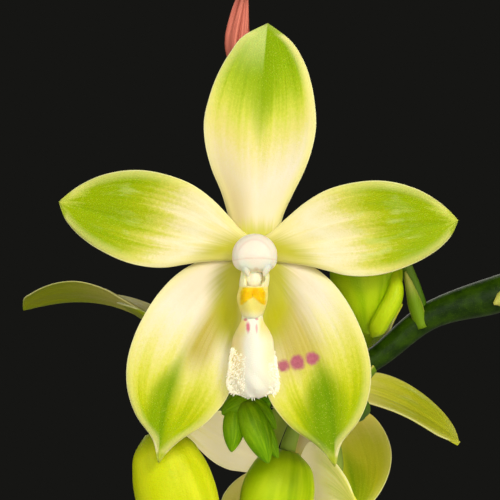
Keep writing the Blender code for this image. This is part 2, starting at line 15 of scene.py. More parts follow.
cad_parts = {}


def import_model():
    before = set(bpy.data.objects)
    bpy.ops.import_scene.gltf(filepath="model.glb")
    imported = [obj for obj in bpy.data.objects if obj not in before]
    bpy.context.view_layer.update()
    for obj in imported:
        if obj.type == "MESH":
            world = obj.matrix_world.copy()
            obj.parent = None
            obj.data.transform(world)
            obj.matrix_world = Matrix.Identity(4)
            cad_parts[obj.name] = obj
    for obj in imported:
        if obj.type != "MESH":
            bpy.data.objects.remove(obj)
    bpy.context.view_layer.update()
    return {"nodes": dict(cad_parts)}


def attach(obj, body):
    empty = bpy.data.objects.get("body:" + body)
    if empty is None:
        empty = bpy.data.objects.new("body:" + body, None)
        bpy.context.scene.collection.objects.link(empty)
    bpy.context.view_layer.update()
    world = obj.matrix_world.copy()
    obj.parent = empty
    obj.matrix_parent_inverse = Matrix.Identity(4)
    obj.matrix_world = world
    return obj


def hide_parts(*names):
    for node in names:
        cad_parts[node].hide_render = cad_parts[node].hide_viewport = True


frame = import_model()
print("solids to dress:", len(frame["nodes"]))

# %% [markdown]
# ## Camera
# The picture is a close-up with a long lens, level with the front bloom and a little to its left.
# A long lens keeps all parts of a flower in true proportion, so the camera stands 45 cm away and
# its view is only 71 mm wide at the bloom.

# %% Place the camera
MM = 0.001
FRONT = Vector((-100.0, -12.0, 222.0))
CAMERA_AWAY = 450.0
CAMERA_LEFT, CAMERA_UP = 0.85, 1.13
VIEW_WIDTH = 70.7
SENSOR = 36.0

lens = bpy.data.cameras.new("camera")
lens.sensor_width = SENSOR
lens.lens = SENSOR * CAMERA_AWAY / VIEW_WIDTH
lens.clip_start = 0.01
camera = bpy.data.objects.new("camera", lens)
camera.location = (FRONT + Vector((-CAMERA_LEFT, -CAMERA_AWAY, CAMERA_UP))) * MM
camera.rotation_euler = (math.radians(90), 0, 0)
bpy.context.scene.collection.objects.link(camera)
bpy.context.scene.camera = camera
print("lens:", round(lens.lens), "mm")

# %% [markdown]
# ## Colours and small helpers
# Colours are easiest to read as the 0 to 255 numbers of a screen, but shaders work with light, so
# one helper turns the first into the second. Paths and outlines come from short tables. A smooth
# curve is read between their points, so a form can be changed by changing one pair of numbers.

# %% Helpers for colours, tables and paths
def screen(red, green, blue):
    """A shader colour from screen numbers."""
    return tuple(c / 255 / 12.92 if c < 10 else ((c / 255 + 0.055) / 1.055) ** 2.4
                 for c in (red, green, blue))


def stops(*rows):
    """The stops of a colour ramp from rows of position, red, green and blue."""
    return [(position, screen(*colour)) for position, *colour in rows]


def eased(table, at):
    """Values read smoothly from a few (position, value) pairs."""
    x, y = np.array(table, float).T
    slope = np.gradient(y, x)
    i = np.clip(np.searchsorted(x, at) - 1, 0, len(x) - 2)
    step = x[i + 1] - x[i]
    t = (np.asarray(at) - x[i]) / step
    start = (1 + 2 * t) * (1 - t) ** 2 * y[i] + t * (1 - t) ** 2 * step * slope[i]
    end = t * t * (3 - 2 * t) * y[i + 1] + t * t * (t - 1) * step * slope[i + 1]
    return start + end


def smooth_path(points, step):
    """Points about `step` apart on one smooth curve through the given ones."""
    given = np.array([list(p) for p in points], float)
    run = np.concatenate([[0], np.cumsum(np.linalg.norm(np.diff(given, axis=0), axis=1))])
    at = np.linspace(0, run[-1], max(3, round(run[-1] / step) + 1))
    return np.stack([eased(tuple(zip(run, given[:, k])), at) for k in range(3)], axis=1)


def world(place):
    """The world point, in millimetres, of (right, up, behind) from the front bloom."""
    right, up, behind = place
    return FRONT + Vector((right, behind, up))


def direction(way):
    """The unit vector, in the world, of a way given as (right, up, behind)."""
    right, up, behind = way
    return Vector((right, behind, up)).normalized()


print("cream as light:", [round(c, 2) for c in screen(250, 243, 218)])

# %% [markdown]
# ## Meshes from grids
# Tepals, lips and scale leaves are all thin sheets, so one helper does them: it takes a grid of
# points for the front and one for the back, and closes the gap around the edge. Round things are
# rings of points in a row. Both keep notes on each point, such as how far along the petal it lies,
# and the materials read the notes to know where the green starts.

# %% Gather shells into one mesh
class Pieces:
    """Collects shells that become one mesh, with notes on each point for the materials."""

    def __init__(self, *notes):
        self.points, self.faces, self.slots = [], [], []
        self.notes = {name: [] for name in notes}
        self.count = 0

    def shell(self, points, faces, slot=0, **notes):
        """Adds one closed shell. A note is one value for all points, or a row with one for each."""
        points = np.asarray(points, float).reshape(-1, 3)
        self.points.append(points)
        self.faces += [tuple(self.count + i for i in face) for face in faces]
        self.slots += [slot] * len(faces)
        for name, kept in self.notes.items():
            value = np.asarray(notes.get(name, 0.0), float)
            if value.shape in ((), (3,)):
                value = np.broadcast_to(value, (len(points), *value.shape))
            kept.append(value)
        self.count += len(points)

    def piece(self, name, materials, place=Matrix.Identity(4)):
        """The mesh object of all shells, moved to a place given in millimetres."""
        mesh = bpy.data.meshes.new(name)
        turned = np.concatenate(self.points) @ np.array(place.to_3x3()).T + np.array(place.translation)
        mesh.from_pydata((turned * MM).tolist(), [], self.faces)
        for note, kept in self.notes.items():
            values = np.concatenate(kept)
            kind, key = ("FLOAT_VECTOR", "vector") if values.ndim == 2 else ("FLOAT", "value")
            mesh.attributes.new(note, kind, "POINT").data.foreach_set(key, values.ravel())
        for made_of in materials:
            mesh.materials.append(made_of)
        mesh.polygons.foreach_set("material_index", self.slots)
        mesh.polygons.foreach_set("use_smooth", [True] * len(mesh.polygons))
        obj = bpy.data.objects.new(name, mesh)
        bpy.context.scene.collection.objects.link(obj)
        return obj


print("points in a new mesh:", Pieces().count)

# %% Grids and closed sheets
def grid_faces(rows, columns, first=0, flip=False):
    """Quads of a grid of rows x columns points."""
    faces = []
    for r in range(rows - 1):
        for c in range(columns - 1):
            a = first + r * columns + c
            face = (a, a + 1, a + columns + 1, a + columns)
            faces.append(face[::-1] if flip else face)
    return faces


def sheet_faces(rows, columns):
    """Faces of a closed sheet: the front grid, the back grid, and the strip around the edge."""
    size = rows * columns
    front = grid_faces(rows, columns)
    back = grid_faces(rows, columns, size, flip=True)
    edge = [*range(columns)] + [r * columns + columns - 1 for r in range(1, rows)]
    edge += [(rows - 1) * columns + c for c in range(columns - 2, -1, -1)]
    edge += [r * columns for r in range(rows - 2, 0, -1)]
    strip = [(a, a + size, b + size, b) for a, b in zip(edge, edge[1:] + edge[:1])]
    return front + back + strip


def grid_normals(grid):
    """The direction that the front of a grid of points looks, at each point."""
    normal = np.cross(np.gradient(grid, axis=1), np.gradient(grid, axis=0))
    return normal / np.maximum(np.linalg.norm(normal, axis=2, keepdims=True), 1e-9)


def sheet_points(middle, normal, front, back):
    """Front and then back points of a sheet about a grid, with its thickness on either side."""
    return np.concatenate([(middle + normal * front[..., None]).reshape(-1, 3),
                           (middle - normal * back[..., None]).reshape(-1, 3)])


print("a sheet of 3 x 3 points has", len(sheet_faces(3, 3)), "faces")

# %% Rings, turned forms and tubes
def circle(sides):
    """The angles of the points of a ring."""
    return np.arange(sides) * math.tau / sides


def ring_faces(rings, sides):
    """Faces of a closed body through rings of points, with a flat cap on both ends."""
    faces = []
    for r in range(rings - 1):
        for i in range(sides):
            j = (i + 1) % sides
            faces.append((r * sides + i, r * sides + j, (r + 1) * sides + j, (r + 1) * sides + i))
    faces.append(tuple(range(sides))[::-1])
    faces.append(tuple((rings - 1) * sides + i for i in range(sides)))
    return faces


def lathe_rings(profile, sides):
    """Rings of a form turned about the upright axis, through (radius, height) points."""
    a = circle(sides)
    return np.array([np.stack([r * np.cos(a), r * np.sin(a), np.full(sides, h)], axis=1)
                     for r, h in profile])


def tube_rings(path, radii, sides, start_side=(0.0, -1.0, 0.1)):
    """Rings of a round bar along a path of points. radii has one number for each point."""
    path = np.asarray(path, float)
    ahead = np.gradient(path, axis=0)
    ahead /= np.linalg.norm(ahead, axis=1, keepdims=True)
    side = np.array(start_side, float)
    angles = circle(sides)
    rings = []
    for point, way, radius in zip(path, ahead, radii):
        side = side - way * side.dot(way)
        side /= np.linalg.norm(side)
        other = np.cross(way, side)
        around = np.outer(np.cos(angles), side) + np.outer(np.sin(angles), other)
        rings.append(point + radius * around)
    return np.array(rings)


print("a tube of 3 rings with 8 sides has", len(ring_faces(3, 8)), "faces")

# %% [markdown]
# ## Shader tools
# A material is a small network of nodes. Writing each node out in full makes long code, so a
# helper holds the tree and adds the kinds that are needed here.

# %% A short way to write shader nodes
class Shading:
    """Adds nodes to one node tree. Values may be numbers, colours or sockets."""

    def __init__(self, tree):
        self.tree = tree

    def give(self, socket, value):
        """Links a socket to a socket, or sets its number or colour."""
        if isinstance(value, bpy.types.NodeSocket):
            self.tree.links.new(value, socket)
        elif hasattr(socket.default_value, "__len__"):
            size = len(socket.default_value)
            socket.default_value = (*value, 1.0)[:size]
        else:
            socket.default_value = value

    def node(self, kind, inputs=None, **settings):
        made = self.tree.nodes.new(kind)
        for key, value in settings.items():
            setattr(made, key, value)
        for key, value in (inputs or {}).items():
            self.give(made.inputs[key], value)
        return made

    def math(self, operation, a, b=0.0):
        return self.node("ShaderNodeMath", {0: a, 1: b}, operation=operation).outputs[0]

    def times(self, product, *others):
        for other in others:
            product = self.math("MULTIPLY", product, other)
        return product

    def plus(self, total, *others):
        for other in others:
            total = self.math("ADD", total, other)
        return total

    def minus(self, a, b):
        return self.math("SUBTRACT", a, b)

    def diagonal(self, a, b):
        """How long the diagonal of a rectangle of a by b is."""
        return self.math("SQRT", self.plus(self.times(a, a), self.times(b, b)))

    def away(self, x, y, right, up, wide, high):
        """How far (x, y) is from a middle, as a share of half a width and half a height."""
        dx = self.math("DIVIDE", self.minus(x, right), wide)
        dy = self.math("DIVIDE", self.minus(y, up), high)
        return self.diagonal(dx, dy)

    def between(self, value, low, high, start=0.0, end=1.0):
        """Goes softly from start to end while value goes from low to high."""
        return self.node("ShaderNodeMapRange", {0: value, 1: low, 2: high, 3: start, 4: end},
                         interpolation_type="SMOOTHSTEP").outputs[0]

    def mix(self, share, a, b):
        """Colour a where share is 0, and colour b where it is 1."""
        return self.node("ShaderNodeMix", {0: share, 6: a, 7: b}, data_type="RGBA").outputs[2]

    def ramp(self, value, stops):
        """A colour that goes through the given (position, colour) stops."""
        made = self.node("ShaderNodeValToRGB", {0: value})
        points = made.color_ramp.elements
        while len(points) < len(stops):
            points.new(0.5)
        for point, (position, colour) in zip(points, stops):
            point.position = position
            point.color = (*colour, 1.0)
        return made.outputs[0]

    def note(self, name):
        return self.node("ShaderNodeAttribute", attribute_name=name).outputs["Vector"]

    def parts(self, vector):
        return self.node("ShaderNodeSeparateXYZ", {0: vector}).outputs

    def vector(self, x, y, z):
        return self.node("ShaderNodeCombineXYZ", {0: x, 1: y, 2: z}).outputs[0]

    def noise(self, vector, scale, detail=2.0, roughness=0.5):
        return self.node("ShaderNodeTexNoise", {"Vector": vector, "Scale": scale, "Detail": detail,
                                                "Roughness": roughness}).outputs[0]

    def place(self):
        return self.node("ShaderNodeTexCoord").outputs["Object"]

    def bump(self, shader, height, strength, distance):
        made = self.node("ShaderNodeBump", {"Height": height, "Strength": strength,
                                            "Distance": distance})
        self.give(shader.inputs["Normal"], made.outputs[0])

    def use(self, group, **inputs):
        made = self.node("ShaderNodeGroup", node_tree=group)
        for key, value in inputs.items():
            self.give(made.inputs[key.replace("_", " ")], value)
        return made.outputs


print("ways to add nodes:", [name for name in vars(Shading) if not name.startswith("_")])

# %% New shader groups and materials
def new_group(name, inputs, outputs):
    """A shader node group with named sockets. Returns its tree, inputs and output node."""
    group = bpy.data.node_groups.new(name, "ShaderNodeTree")
    for label, kind, value in inputs:
        socket = group.interface.new_socket(label, in_out="INPUT", socket_type=kind)
        socket.default_value = value
    for label, kind in outputs:
        group.interface.new_socket(label, in_out="OUTPUT", socket_type=kind)
    s = Shading(group)
    return group, s, s.node("NodeGroupInput").outputs, s.node("NodeGroupOutput").inputs


def new_material(name, roughness, **constants):
    """A material, its node helper and its Principled shader. constants go on the shader itself."""
    made = bpy.data.materials.new(name)
    made.use_nodes = True
    shader = made.node_tree.nodes["Principled BSDF"]
    shader.inputs["Roughness"].default_value = roughness
    for key, value in constants.items():
        shader.inputs[key.replace("_", " ")].default_value = value
    return made, Shading(made.node_tree), shader


print("materials so far:", len(bpy.data.materials))

# %% [markdown]
# ## Effects that several materials share
# Plant skin is made of cells. On a petal they are big enough to see as fine sparkling grains, and
# on stems and buds as a faint mottling. The pale grains are partly the cells' own tone and, on
# petals, partly painted glints of light. Veins are the other shared effect: streaks that run along
# the petal and come together at both ends. Noise stretched along the petal gives them, when it is
# read by the share of the width and not by the width itself.

# %% The grain of plant cells
FLOAT, VECTOR = "NodeSocketFloat", "NodeSocketVector"

cells_group, s, given, out = new_group(
    "plant_cells", [("Scale", FLOAT, 5000.0)], [("Grain", FLOAT), ("Height", FLOAT)])
cell = s.node("ShaderNodeTexVoronoi", {"Vector": s.place(), "Scale": given["Scale"]}).outputs
# pale grains in the middle of some cells: partly the cells' own tone, on petals partly painted glints
middle = s.between(cell["Distance"], 0.15, 0.55, 1.0, 0.0)
lit = s.between(s.parts(cell["Color"])[0], 0.35, 1.0)
s.give(out["Grain"], s.times(middle, lit))
s.give(out["Height"], middle)
print("grain:", len(cells_group.nodes), "nodes")

# %% The streaks of the veins
veins_group, s, given, out = new_group(
    "vein_streaks", [("Place", VECTOR, (0, 0, 0)), ("Count", FLOAT, 6.0), ("Length", FLOAT, 0.8),
                     ("Low", FLOAT, 0.35), ("High", FLOAT, 0.65)], [("Streak", FLOAT)])
across, along, seed = s.parts(given["Place"])
stretched = s.vector(s.times(across, given["Count"]), s.times(along, given["Length"]),
                     s.times(seed, 7.3))
wave = s.noise(stretched, 1.0, 2.0, 0.55)
s.give(out["Streak"], s.between(wave, given["Low"], given["High"]))
print("shared effects:", [g.name for g in bpy.data.node_groups])

# %% [markdown]
# ## The tepals' finish
# An orchid's three sepals and two petals look alike, so botanists call them tepals. Here each is
# cream at the base and turns green towards the tip, in streaks along its veins. A patch of
# yellow-green sits at the very base, and a thin pale rim runs all around, partly a pale edge and
# partly painted light where the edge catches it. Sepals at the sides have a strong green midrib.
# Some light and shade is painted into the colour too: a painted sheen near the tips and between
# the streaks, and painted shade on one half of some tepals. The colour could be painted on an
# image, but a formula stays sharp at any size, and each of the five tepals of each bloom then gets
# streaks of its own. The three blooms behind the front one are older: their cream has turned yellow
# and their green is paler. Their tepals give off a faint painted glow, which stands in for the light
# behind them that comes through, and the petals and top sepal of one are darkened with painted shade.

# %% The colours of tepals
# Each kind goes through its own row of colours from base to tip, as (share of the length, colour)
DORSAL_COLOURS = stops((0.20, 250, 236, 194), (0.30, 250, 238, 205), (0.40, 248, 234, 178),
                       (0.50, 238, 228, 124), (0.60, 216, 221, 74), (0.70, 180, 202, 30),
                       (0.80, 150, 182, 2), (0.92, 142, 174, 0))
PETAL_COLOURS = stops((0.20, 246, 234, 166), (0.30, 250, 240, 196), (0.40, 245, 232, 170),
                      (0.50, 216, 212, 88), (0.60, 174, 188, 16), (0.72, 154, 178, 0),
                      (0.90, 162, 184, 0), (0.98, 218, 224, 84))
LATERAL_COLOURS = stops((0.20, 248, 233, 198), (0.32, 252, 241, 210), (0.42, 250, 240, 184),
                        (0.52, 242, 234, 132), (0.62, 228, 226, 76), (0.72, 212, 217, 22),
                        (0.82, 188, 206, 0), (1.0, 216, 222, 50))
DEEP_GREEN, RIB_GREEN = screen(112, 152, 0), screen(142, 174, 0)
# the khaki is partly the side sepals' own colour and partly painted shade
KHAKI, OLIVE = screen(200, 182, 78), screen(190, 188, 0)
# a thin rim, partly a pale edge and partly painted light where the edge catches it
PALE_RIM_LIGHT = screen(252, 244, 182)
# a painted highlight for the sheen on the tepals
PAINTED_SHEEN = screen(206, 220, 120)
BACK_PALE, BACK_GREEN = screen(246, 232, 172), screen(222, 220, 60)

# The blooms behind the front one: yellowed, aged to cream, and darkened with painted shade where
# the others shade them
FAR_COLOURS = stops((0.10, 232, 220, 130), (0.30, 226, 214, 104), (0.50, 206, 204, 52),
                    (0.70, 204, 202, 34), (0.90, 220, 216, 44), (1.0, 232, 228, 84))
AGED_COLOURS = stops((0.20, 248, 234, 190), (0.50, 248, 232, 180), (0.80, 240, 226, 140),
                     (1.0, 228, 220, 96))
SHADED_COLOURS = stops((0.20, 190, 178, 84), (0.50, 188, 180, 60), (0.75, 176, 174, 20),
                       (1.0, 150, 162, 4))
print("the top sepal's cream as light:", [round(c, 2) for c in DORSAL_COLOURS[0][1]])

# %% What each kind of tepal has
# tilt lets the colour reach further on the half with positive across, edge holds it back along both
# edges, and streaks is how far it follows the veins. rib is the strength of the green band along
# the midrib, rib_wide its half-width near the tip, and core the strength of the darker line in it.
# The patch at the base fades between the two shares of base, and base_side makes it longer on one
# half. sheen is a painted highlight, a pale gleam beside the midrib, patches the same painted
# highlight between the streaks, and soft the pale margin. shade is the khaki inner half of a side
# sepal, and dim the darker half of the top one: both partly their own colour and partly painted
# shade.
DORSAL = {"length": 32.2, "colours": DORSAL_COLOURS, "tilt": 0.02, "edge": 0.14, "streaks": 0.085,
          "rib": 0.62, "rib_wide": 3.0, "core": 0.15,
          "base": (0.07, 0.165), "base_side": 0.0, "base_colour": screen(214, 210, 66),
          "sheen": 0.8, "patches": 0.0, "soft": 0.85, "shade": 0.0, "dim": 0.74}
PETAL = {"length": 28.3, "colours": PETAL_COLOURS, "tilt": 0.07, "edge": 0.02, "streaks": 0.12,
         "rib": 0.0, "rib_wide": 1.0, "core": 0.25,
         "base": (0.09, 0.25), "base_side": -1.2, "base_colour": screen(192, 188, 16),
         "sheen": 0.0, "patches": 0.55, "soft": 0.45, "shade": 0.0, "dim": 0.0}
LATERAL = {"length": 30.8, "colours": LATERAL_COLOURS, "tilt": 0.02, "edge": 0.06, "streaks": 0.085,
           "rib": 0.9, "rib_wide": 3.0, "core": 0.55,
           "base": (0.12, 0.29), "base_side": -2.2, "base_colour": OLIVE,
           "sheen": 0.0, "patches": 0.0, "soft": 0.55, "shade": 1.0, "dim": 0.0}
# glow is painted light: a little light of the tepal's own colour, which stands in for the light
# that comes through an old, thin tepal from behind it
FAR_PETAL = dict(PETAL, colours=FAR_COLOURS, core=0.1, soft=0.2, glow=0.22)
FAR_LATERAL = dict(LATERAL, colours=FAR_COLOURS, shade=0.2, rib=0.6, soft=0.2, glow=0.03)
AGED_PETAL = dict(PETAL, colours=AGED_COLOURS, core=0.0, patches=0.0, soft=0.2, glow=0.3)
# painted shade: darker colours on the front and the back of the bloom that the others shade
SHADED_PETAL = dict(PETAL, colours=SHADED_COLOURS, core=0.1, patches=0.2, soft=0.2,
                    back=(screen(196, 184, 92), screen(152, 160, 14)))
print("each kind is told by:", ", ".join(DORSAL))

# %% The material of one kind of tepal
def tepal_material(name, kind, deeper=0.0):
    """The skin of one kind of tepal. deeper, from 0 to 1, spreads the green down from the tip,
    and widens the khaki inner half, which is partly painted shade.
    """
    made, s, shader = new_material(name, 0.46, Subsurface_Weight=0.05, Subsurface_Scale=0.001,
                                   Specular_IOR_Level=0.05, Emission_Strength=kind.get("glow", 0.0))
    place = s.note("place")
    across, along, seed = s.parts(place)
    margin, off, front = s.parts(s.note("edge"))
    far_off = s.math("ABSOLUTE", off)
    wide = s.use(veins_group, Place=place, Count=4.4, Length=1.1, Low=0.25, High=0.75)["Streak"]
    fine = s.use(veins_group, Place=place, Count=15.0, Length=1.4, Low=0.3, High=0.7)["Streak"]
    cells = s.use(cells_group, Scale=5200.0)
    specks = s.noise(s.place(), 2300.0, 2.0, 0.7)
    squared = s.times(across, across)
    near_edge = s.times(squared, squared)

    # how far towards the tip a point counts as: its length, moved by streaks, specks and place
    reach = s.plus(along, deeper * 0.06)
    for value, middle, amount in ((wide, 0.5, kind["streaks"]), (fine, 0.5, 0.035),
                                  (specks, 0.5, 0.12), (across, 0.0, kind["tilt"] + 0.04 * deeper),
                                  (near_edge, 0.0, -kind["edge"])):
        reach = s.plus(reach, s.times(s.minus(value, middle), amount))
    colour = s.ramp(reach, kind["colours"])
    green = s.between(reach, 0.55, 0.8)
    colour = s.mix(s.times(green, wide, 0.3), colour, RIB_GREEN)
    colour = s.mix(s.times(green, fine, 0.16), colour, DEEP_GREEN)

    # the khaki inner half of a side sepal and the darker half of the top one, both partly their own
    # colour and partly painted shade
    nearness = s.between(s.math("ABSOLUTE", s.plus(off, 1.9)), 0.5, 3.4 + 2.0 * deeper, 1.0, 0.0)
    inner_shade = s.times(nearness, s.between(along, 0.10, 0.22, 0.0, kind["shade"]),
                    s.between(along, 0.42, 0.60, 1.0, 0.0), s.between(fine, 0.0, 1.0, 0.85, 1.0))
    colour = s.mix(inner_shade, colour, KHAKI)
    half_shade = s.times(s.between(across, -0.1, 0.75),
                   s.between(along, 0.1, 0.75, kind["dim"], 0.1 * kind["dim"]))
    colour = s.mix(half_shade, colour, screen(200, 178, 104))

    # the midrib: a soft green band that widens towards the tip, and a darker line along its middle
    half = s.between(along, 0.38, 0.72, 0.5, kind["rib_wide"] + 1.6 * deeper)
    leaning = (0.9 if kind["shade"] else 0.2) - 2.0 * deeper
    beside = s.math("ABSOLUTE", s.minus(off, s.between(along, 0.5, 0.8, 0.0, leaning)))
    rib = s.times(s.between(s.math("DIVIDE", beside, half), 0.15, 1.0, 1.0, 0.0),
                  s.between(along, 0.40, 0.66, 0.0, kind["rib"]),
                  s.between(along, 0.90, 0.97, 1.0, 0.25))
    colour = s.mix(rib, colour, s.mix(0.2 + 0.75 * deeper, RIB_GREEN, DEEP_GREEN))
    core = s.times(s.between(far_off, 0.05, 0.8, kind["core"], 0.0), s.between(along, 0.45, 0.7),
                   s.between(along, 0.90, 0.97, 1.0, 0.0))
    colour = s.mix(core, colour, DEEP_GREEN)

    # the yellow-green patch at the base
    towards = s.plus(along, s.times(across, -0.10 * kind["base_side"]),
                     s.times(s.minus(fine, 0.5), 0.025), s.times(near_edge, 0.06))
    colour = s.mix(s.between(towards, *kind["base"], 0.9, 0.0), colour, kind["base_colour"])

    # painted highlights: a pale sheen beside the midrib near the tip, and in patches between the
    # streaks
    sheen = s.times(s.between(off, -0.1, 0.2), s.between(off, 1.6, 5.0, 1.0, 0.35),
                    s.between(along, 0.74, 0.95, 0.0, kind["sheen"]))
    colour = s.mix(sheen, colour, PAINTED_SHEEN)
    spread = s.vector(s.times(across, 4.2), s.times(along, 4.6), s.times(seed, 3.1))
    sheen_patch = s.times(s.between(s.noise(spread, 1.0, 3.0, 0.6), 0.5, 0.68, 0.0, kind["patches"]),
                    s.between(along, 0.42, 0.55), s.between(along, 0.66, 0.84, 1.0, 0.0),
                    s.between(wide, 0.2, 0.8, 1.0, 0.3))
    colour = s.mix(sheen_patch, colour, PAINTED_SHEEN)

    # pale grains, partly the cells' own tone and partly painted glints, a pale margin, and a thin
    # bright rim, partly a pale edge and partly painted light, which leaves the very tip green
    grain_and_glint = s.times(cells["Grain"], s.between(along, 0.15, 0.6, 0.08, 0.34))
    colour = s.mix(grain_and_glint, colour, screen(222, 232, 84))
    body = s.between(along, 1 - 1.9 / kind["length"], 1 - 1.2 / kind["length"], 1.0, 0.15)
    side = s.between(across, -0.4, 0.4, kind["soft"] * (1 - 0.6 * deeper),
                     kind["soft"] * (0.45 if kind["dim"] else 1.0))
    soft = s.times(s.between(margin, 0.25, 1.6, 1.0, 0.0), side, body)
    colour = s.mix(soft, colour, screen(246, 236, 146))
    rim = s.times(s.between(margin, 0.08, 0.22, 0.6, 0.0), body)
    colour = s.mix(rim, colour, PALE_RIM_LIGHT)

    # the back is plainer, with a green line down its keel
    back = s.mix(s.between(reach, 0.2, 0.75), *kind.get("back", (BACK_PALE, BACK_GREEN)))
    back = s.mix(s.between(far_off, 0.1, 1.2, 0.22, 0.0), back, RIB_GREEN)
    shown = s.mix(front, back, colour)
    s.give(shader.inputs["Base Color"], shown)
    # painted light: the tepal gives off a little light of its own colour
    if kind.get("glow"):
        s.give(shader.inputs["Emission Color"], shown)

    # cells stand out a little, and veins are sunk, less so where they crowd together at the base
    height = s.plus(s.times(cells["Height"], 0.35), s.times(wide, -1.3), s.times(fine, -0.35))
    s.bump(shader, s.times(height, s.between(along, 0.12, 0.45, 0.2, 1.0)), 0.4, 0.00014)
    s.give(shader.inputs["Roughness"], s.between(specks, 0.3, 0.7, 0.40, 0.52))
    return made


DORSAL_SKIN = tepal_material("dorsal_sepal", DORSAL)
print("nodes in a tepal's material:", len(DORSAL_SKIN.node_tree.nodes))

# %% The materials of the other tepals
PETAL_SKIN = tepal_material("petal", PETAL)
LATERAL_SKIN = tepal_material("lateral_sepal", LATERAL)
# the right side sepal of the front bloom: greener and darker, partly its own colour, partly painted
# shade
DEEPER_SKIN = tepal_material("lateral_sepal_deeper", LATERAL, 1.0)
FAR_PETAL_SKIN = tepal_material("petal_far", FAR_PETAL)
FAR_LATERAL_SKIN = tepal_material("lateral_sepal_far", FAR_LATERAL)
AGED_SKIN = tepal_material("petal_aged", AGED_PETAL)
SHADED_SKIN = tepal_material("petal_shaded", SHADED_PETAL)
OLDER_SKINS = {"lower_right": (FAR_PETAL_SKIN, FAR_PETAL_SKIN), "lower": (DORSAL_SKIN, AGED_SKIN),
               "left": (SHADED_SKIN, SHADED_SKIN)}
print("tepal materials:", DORSAL_SKIN.name, PETAL_SKIN.name, LATERAL_SKIN.name)

# %% [markdown]
# ## The tepals' shape
# Each tepal is a thin, fleshy blade. Its midrib starts at the flower's middle, lies in a gentle
# curve and bends back at the tip. Tables give the half-width on each side of it, because the two
# halves of a petal differ. The blade is thick along the midrib and thin at the edge, with a groove
# down the front, a keel down the back, and an edge that rolls back a little.

# %% Outlines and places of the five tepals
# Half-widths in millimetres, as (share of the length, half-width)
DORSAL_LEFT = ((0.0, 3.0), (0.15, 3.95), (0.25, 5.0), (0.35, 6.5), (0.45, 7.5), (0.55, 7.85),
               (0.65, 7.35), (0.75, 6.4), (0.85, 4.9), (0.93, 3.2), (1.0, 0.0))
DORSAL_RIGHT = ((0.0, 3.0), (0.15, 3.75), (0.25, 5.1), (0.35, 6.55), (0.45, 7.55), (0.55, 7.95),
                (0.65, 7.6), (0.75, 6.8), (0.85, 5.4), (0.93, 3.4), (1.0, 0.0))
PETAL_UPPER = ((0.0, 1.6), (0.06, 2.3), (0.15, 3.9), (0.25, 5.6), (0.35, 6.8), (0.5, 7.4),
               (0.65, 7.0), (0.75, 6.0), (0.85, 4.35), (0.94, 2.1), (1.0, 0.0))
PETAL_LOWER = ((0.0, 1.5), (0.09, 2.1), (0.25, 3.5), (0.3, 4.1), (0.4, 5.3), (0.5, 5.85),
               (0.6, 5.85), (0.7, 5.35), (0.8, 4.5), (0.9, 3.05), (0.95, 1.9), (1.0, 0.0))
LATERAL_OUTER = ((0.0, 3.0), (0.12, 5.5), (0.2, 6.5), (0.3, 7.1), (0.4, 7.3), (0.5, 7.25),
                 (0.6, 6.8), (0.7, 5.65), (0.8, 3.6), (0.88, 1.2), (1.0, 0.0))
LATERAL_INNER = ((0.0, 1.0), (0.12, 3.3), (0.2, 5.2), (0.3, 6.4), (0.4, 7.2), (0.5, 8.0),
                 (0.6, 8.1), (0.7, 7.2), (0.8, 5.4), (0.88, 2.9), (0.94, 1.3), (1.0, 0.0))

# heading is the way of the midrib in the flower's plane and pitch how far it leans forward, both in
# degrees and at base and tip. cup is how far the sides stand forward of the midrib.
TEPALS = {
    "dorsal": {"start": (0.0, 1.2, -0.7), "heading": (90.0, 84.0), "pitch": (6.0, -8.0),
               "length": 32.2, "cup": 1.5, "left": DORSAL_LEFT, "right": DORSAL_RIGHT},
    "petal_right": {"start": (0.85, 1.1, 0.0), "heading": (9.0, 8.3), "pitch": (14.0, -16.0),
                    "length": 28.4, "cup": 1.2, "left": PETAL_UPPER, "right": PETAL_LOWER},
    "petal_left": {"start": (-0.85, 1.1, 0.0), "heading": (165.8, 165.8), "pitch": (14.0, -16.0),
                   "length": 28.2, "cup": 1.2, "left": PETAL_LOWER, "right": PETAL_UPPER},
    "lateral_right": {"start": (1.2, -1.5, -0.7), "heading": (-50.0, -91.0),
                      "pitch": (10.0, -12.0), "length": 30.6, "cup": 1.3,
                      "left": LATERAL_OUTER, "right": LATERAL_INNER},
    "lateral_left": {"start": (-1.6, -1.7, -0.7), "heading": (222.0, 270.0),
                     "pitch": (10.0, -12.0), "length": 31.0, "cup": 1.3,
                     "left": LATERAL_INNER, "right": LATERAL_OUTER},
}
SKINS = {"dorsal": 0, "petal_right": 1, "petal_left": 1, "lateral_right": 2, "lateral_left": 2}
# Which way across counts as positive: upwards on petals, outwards on side sepals
SIGNS = {"dorsal": 1, "petal_right": 1, "petal_left": -1, "lateral_right": 1, "lateral_left": -1}
print("tepals of a bloom:", ", ".join(TEPALS))

# %% One tepal as a closed sheet
TEPAL_ROWS, TEPAL_COLUMNS = 72, 30
LINE_STEPS = 64
LEAST_HALF = 0.07


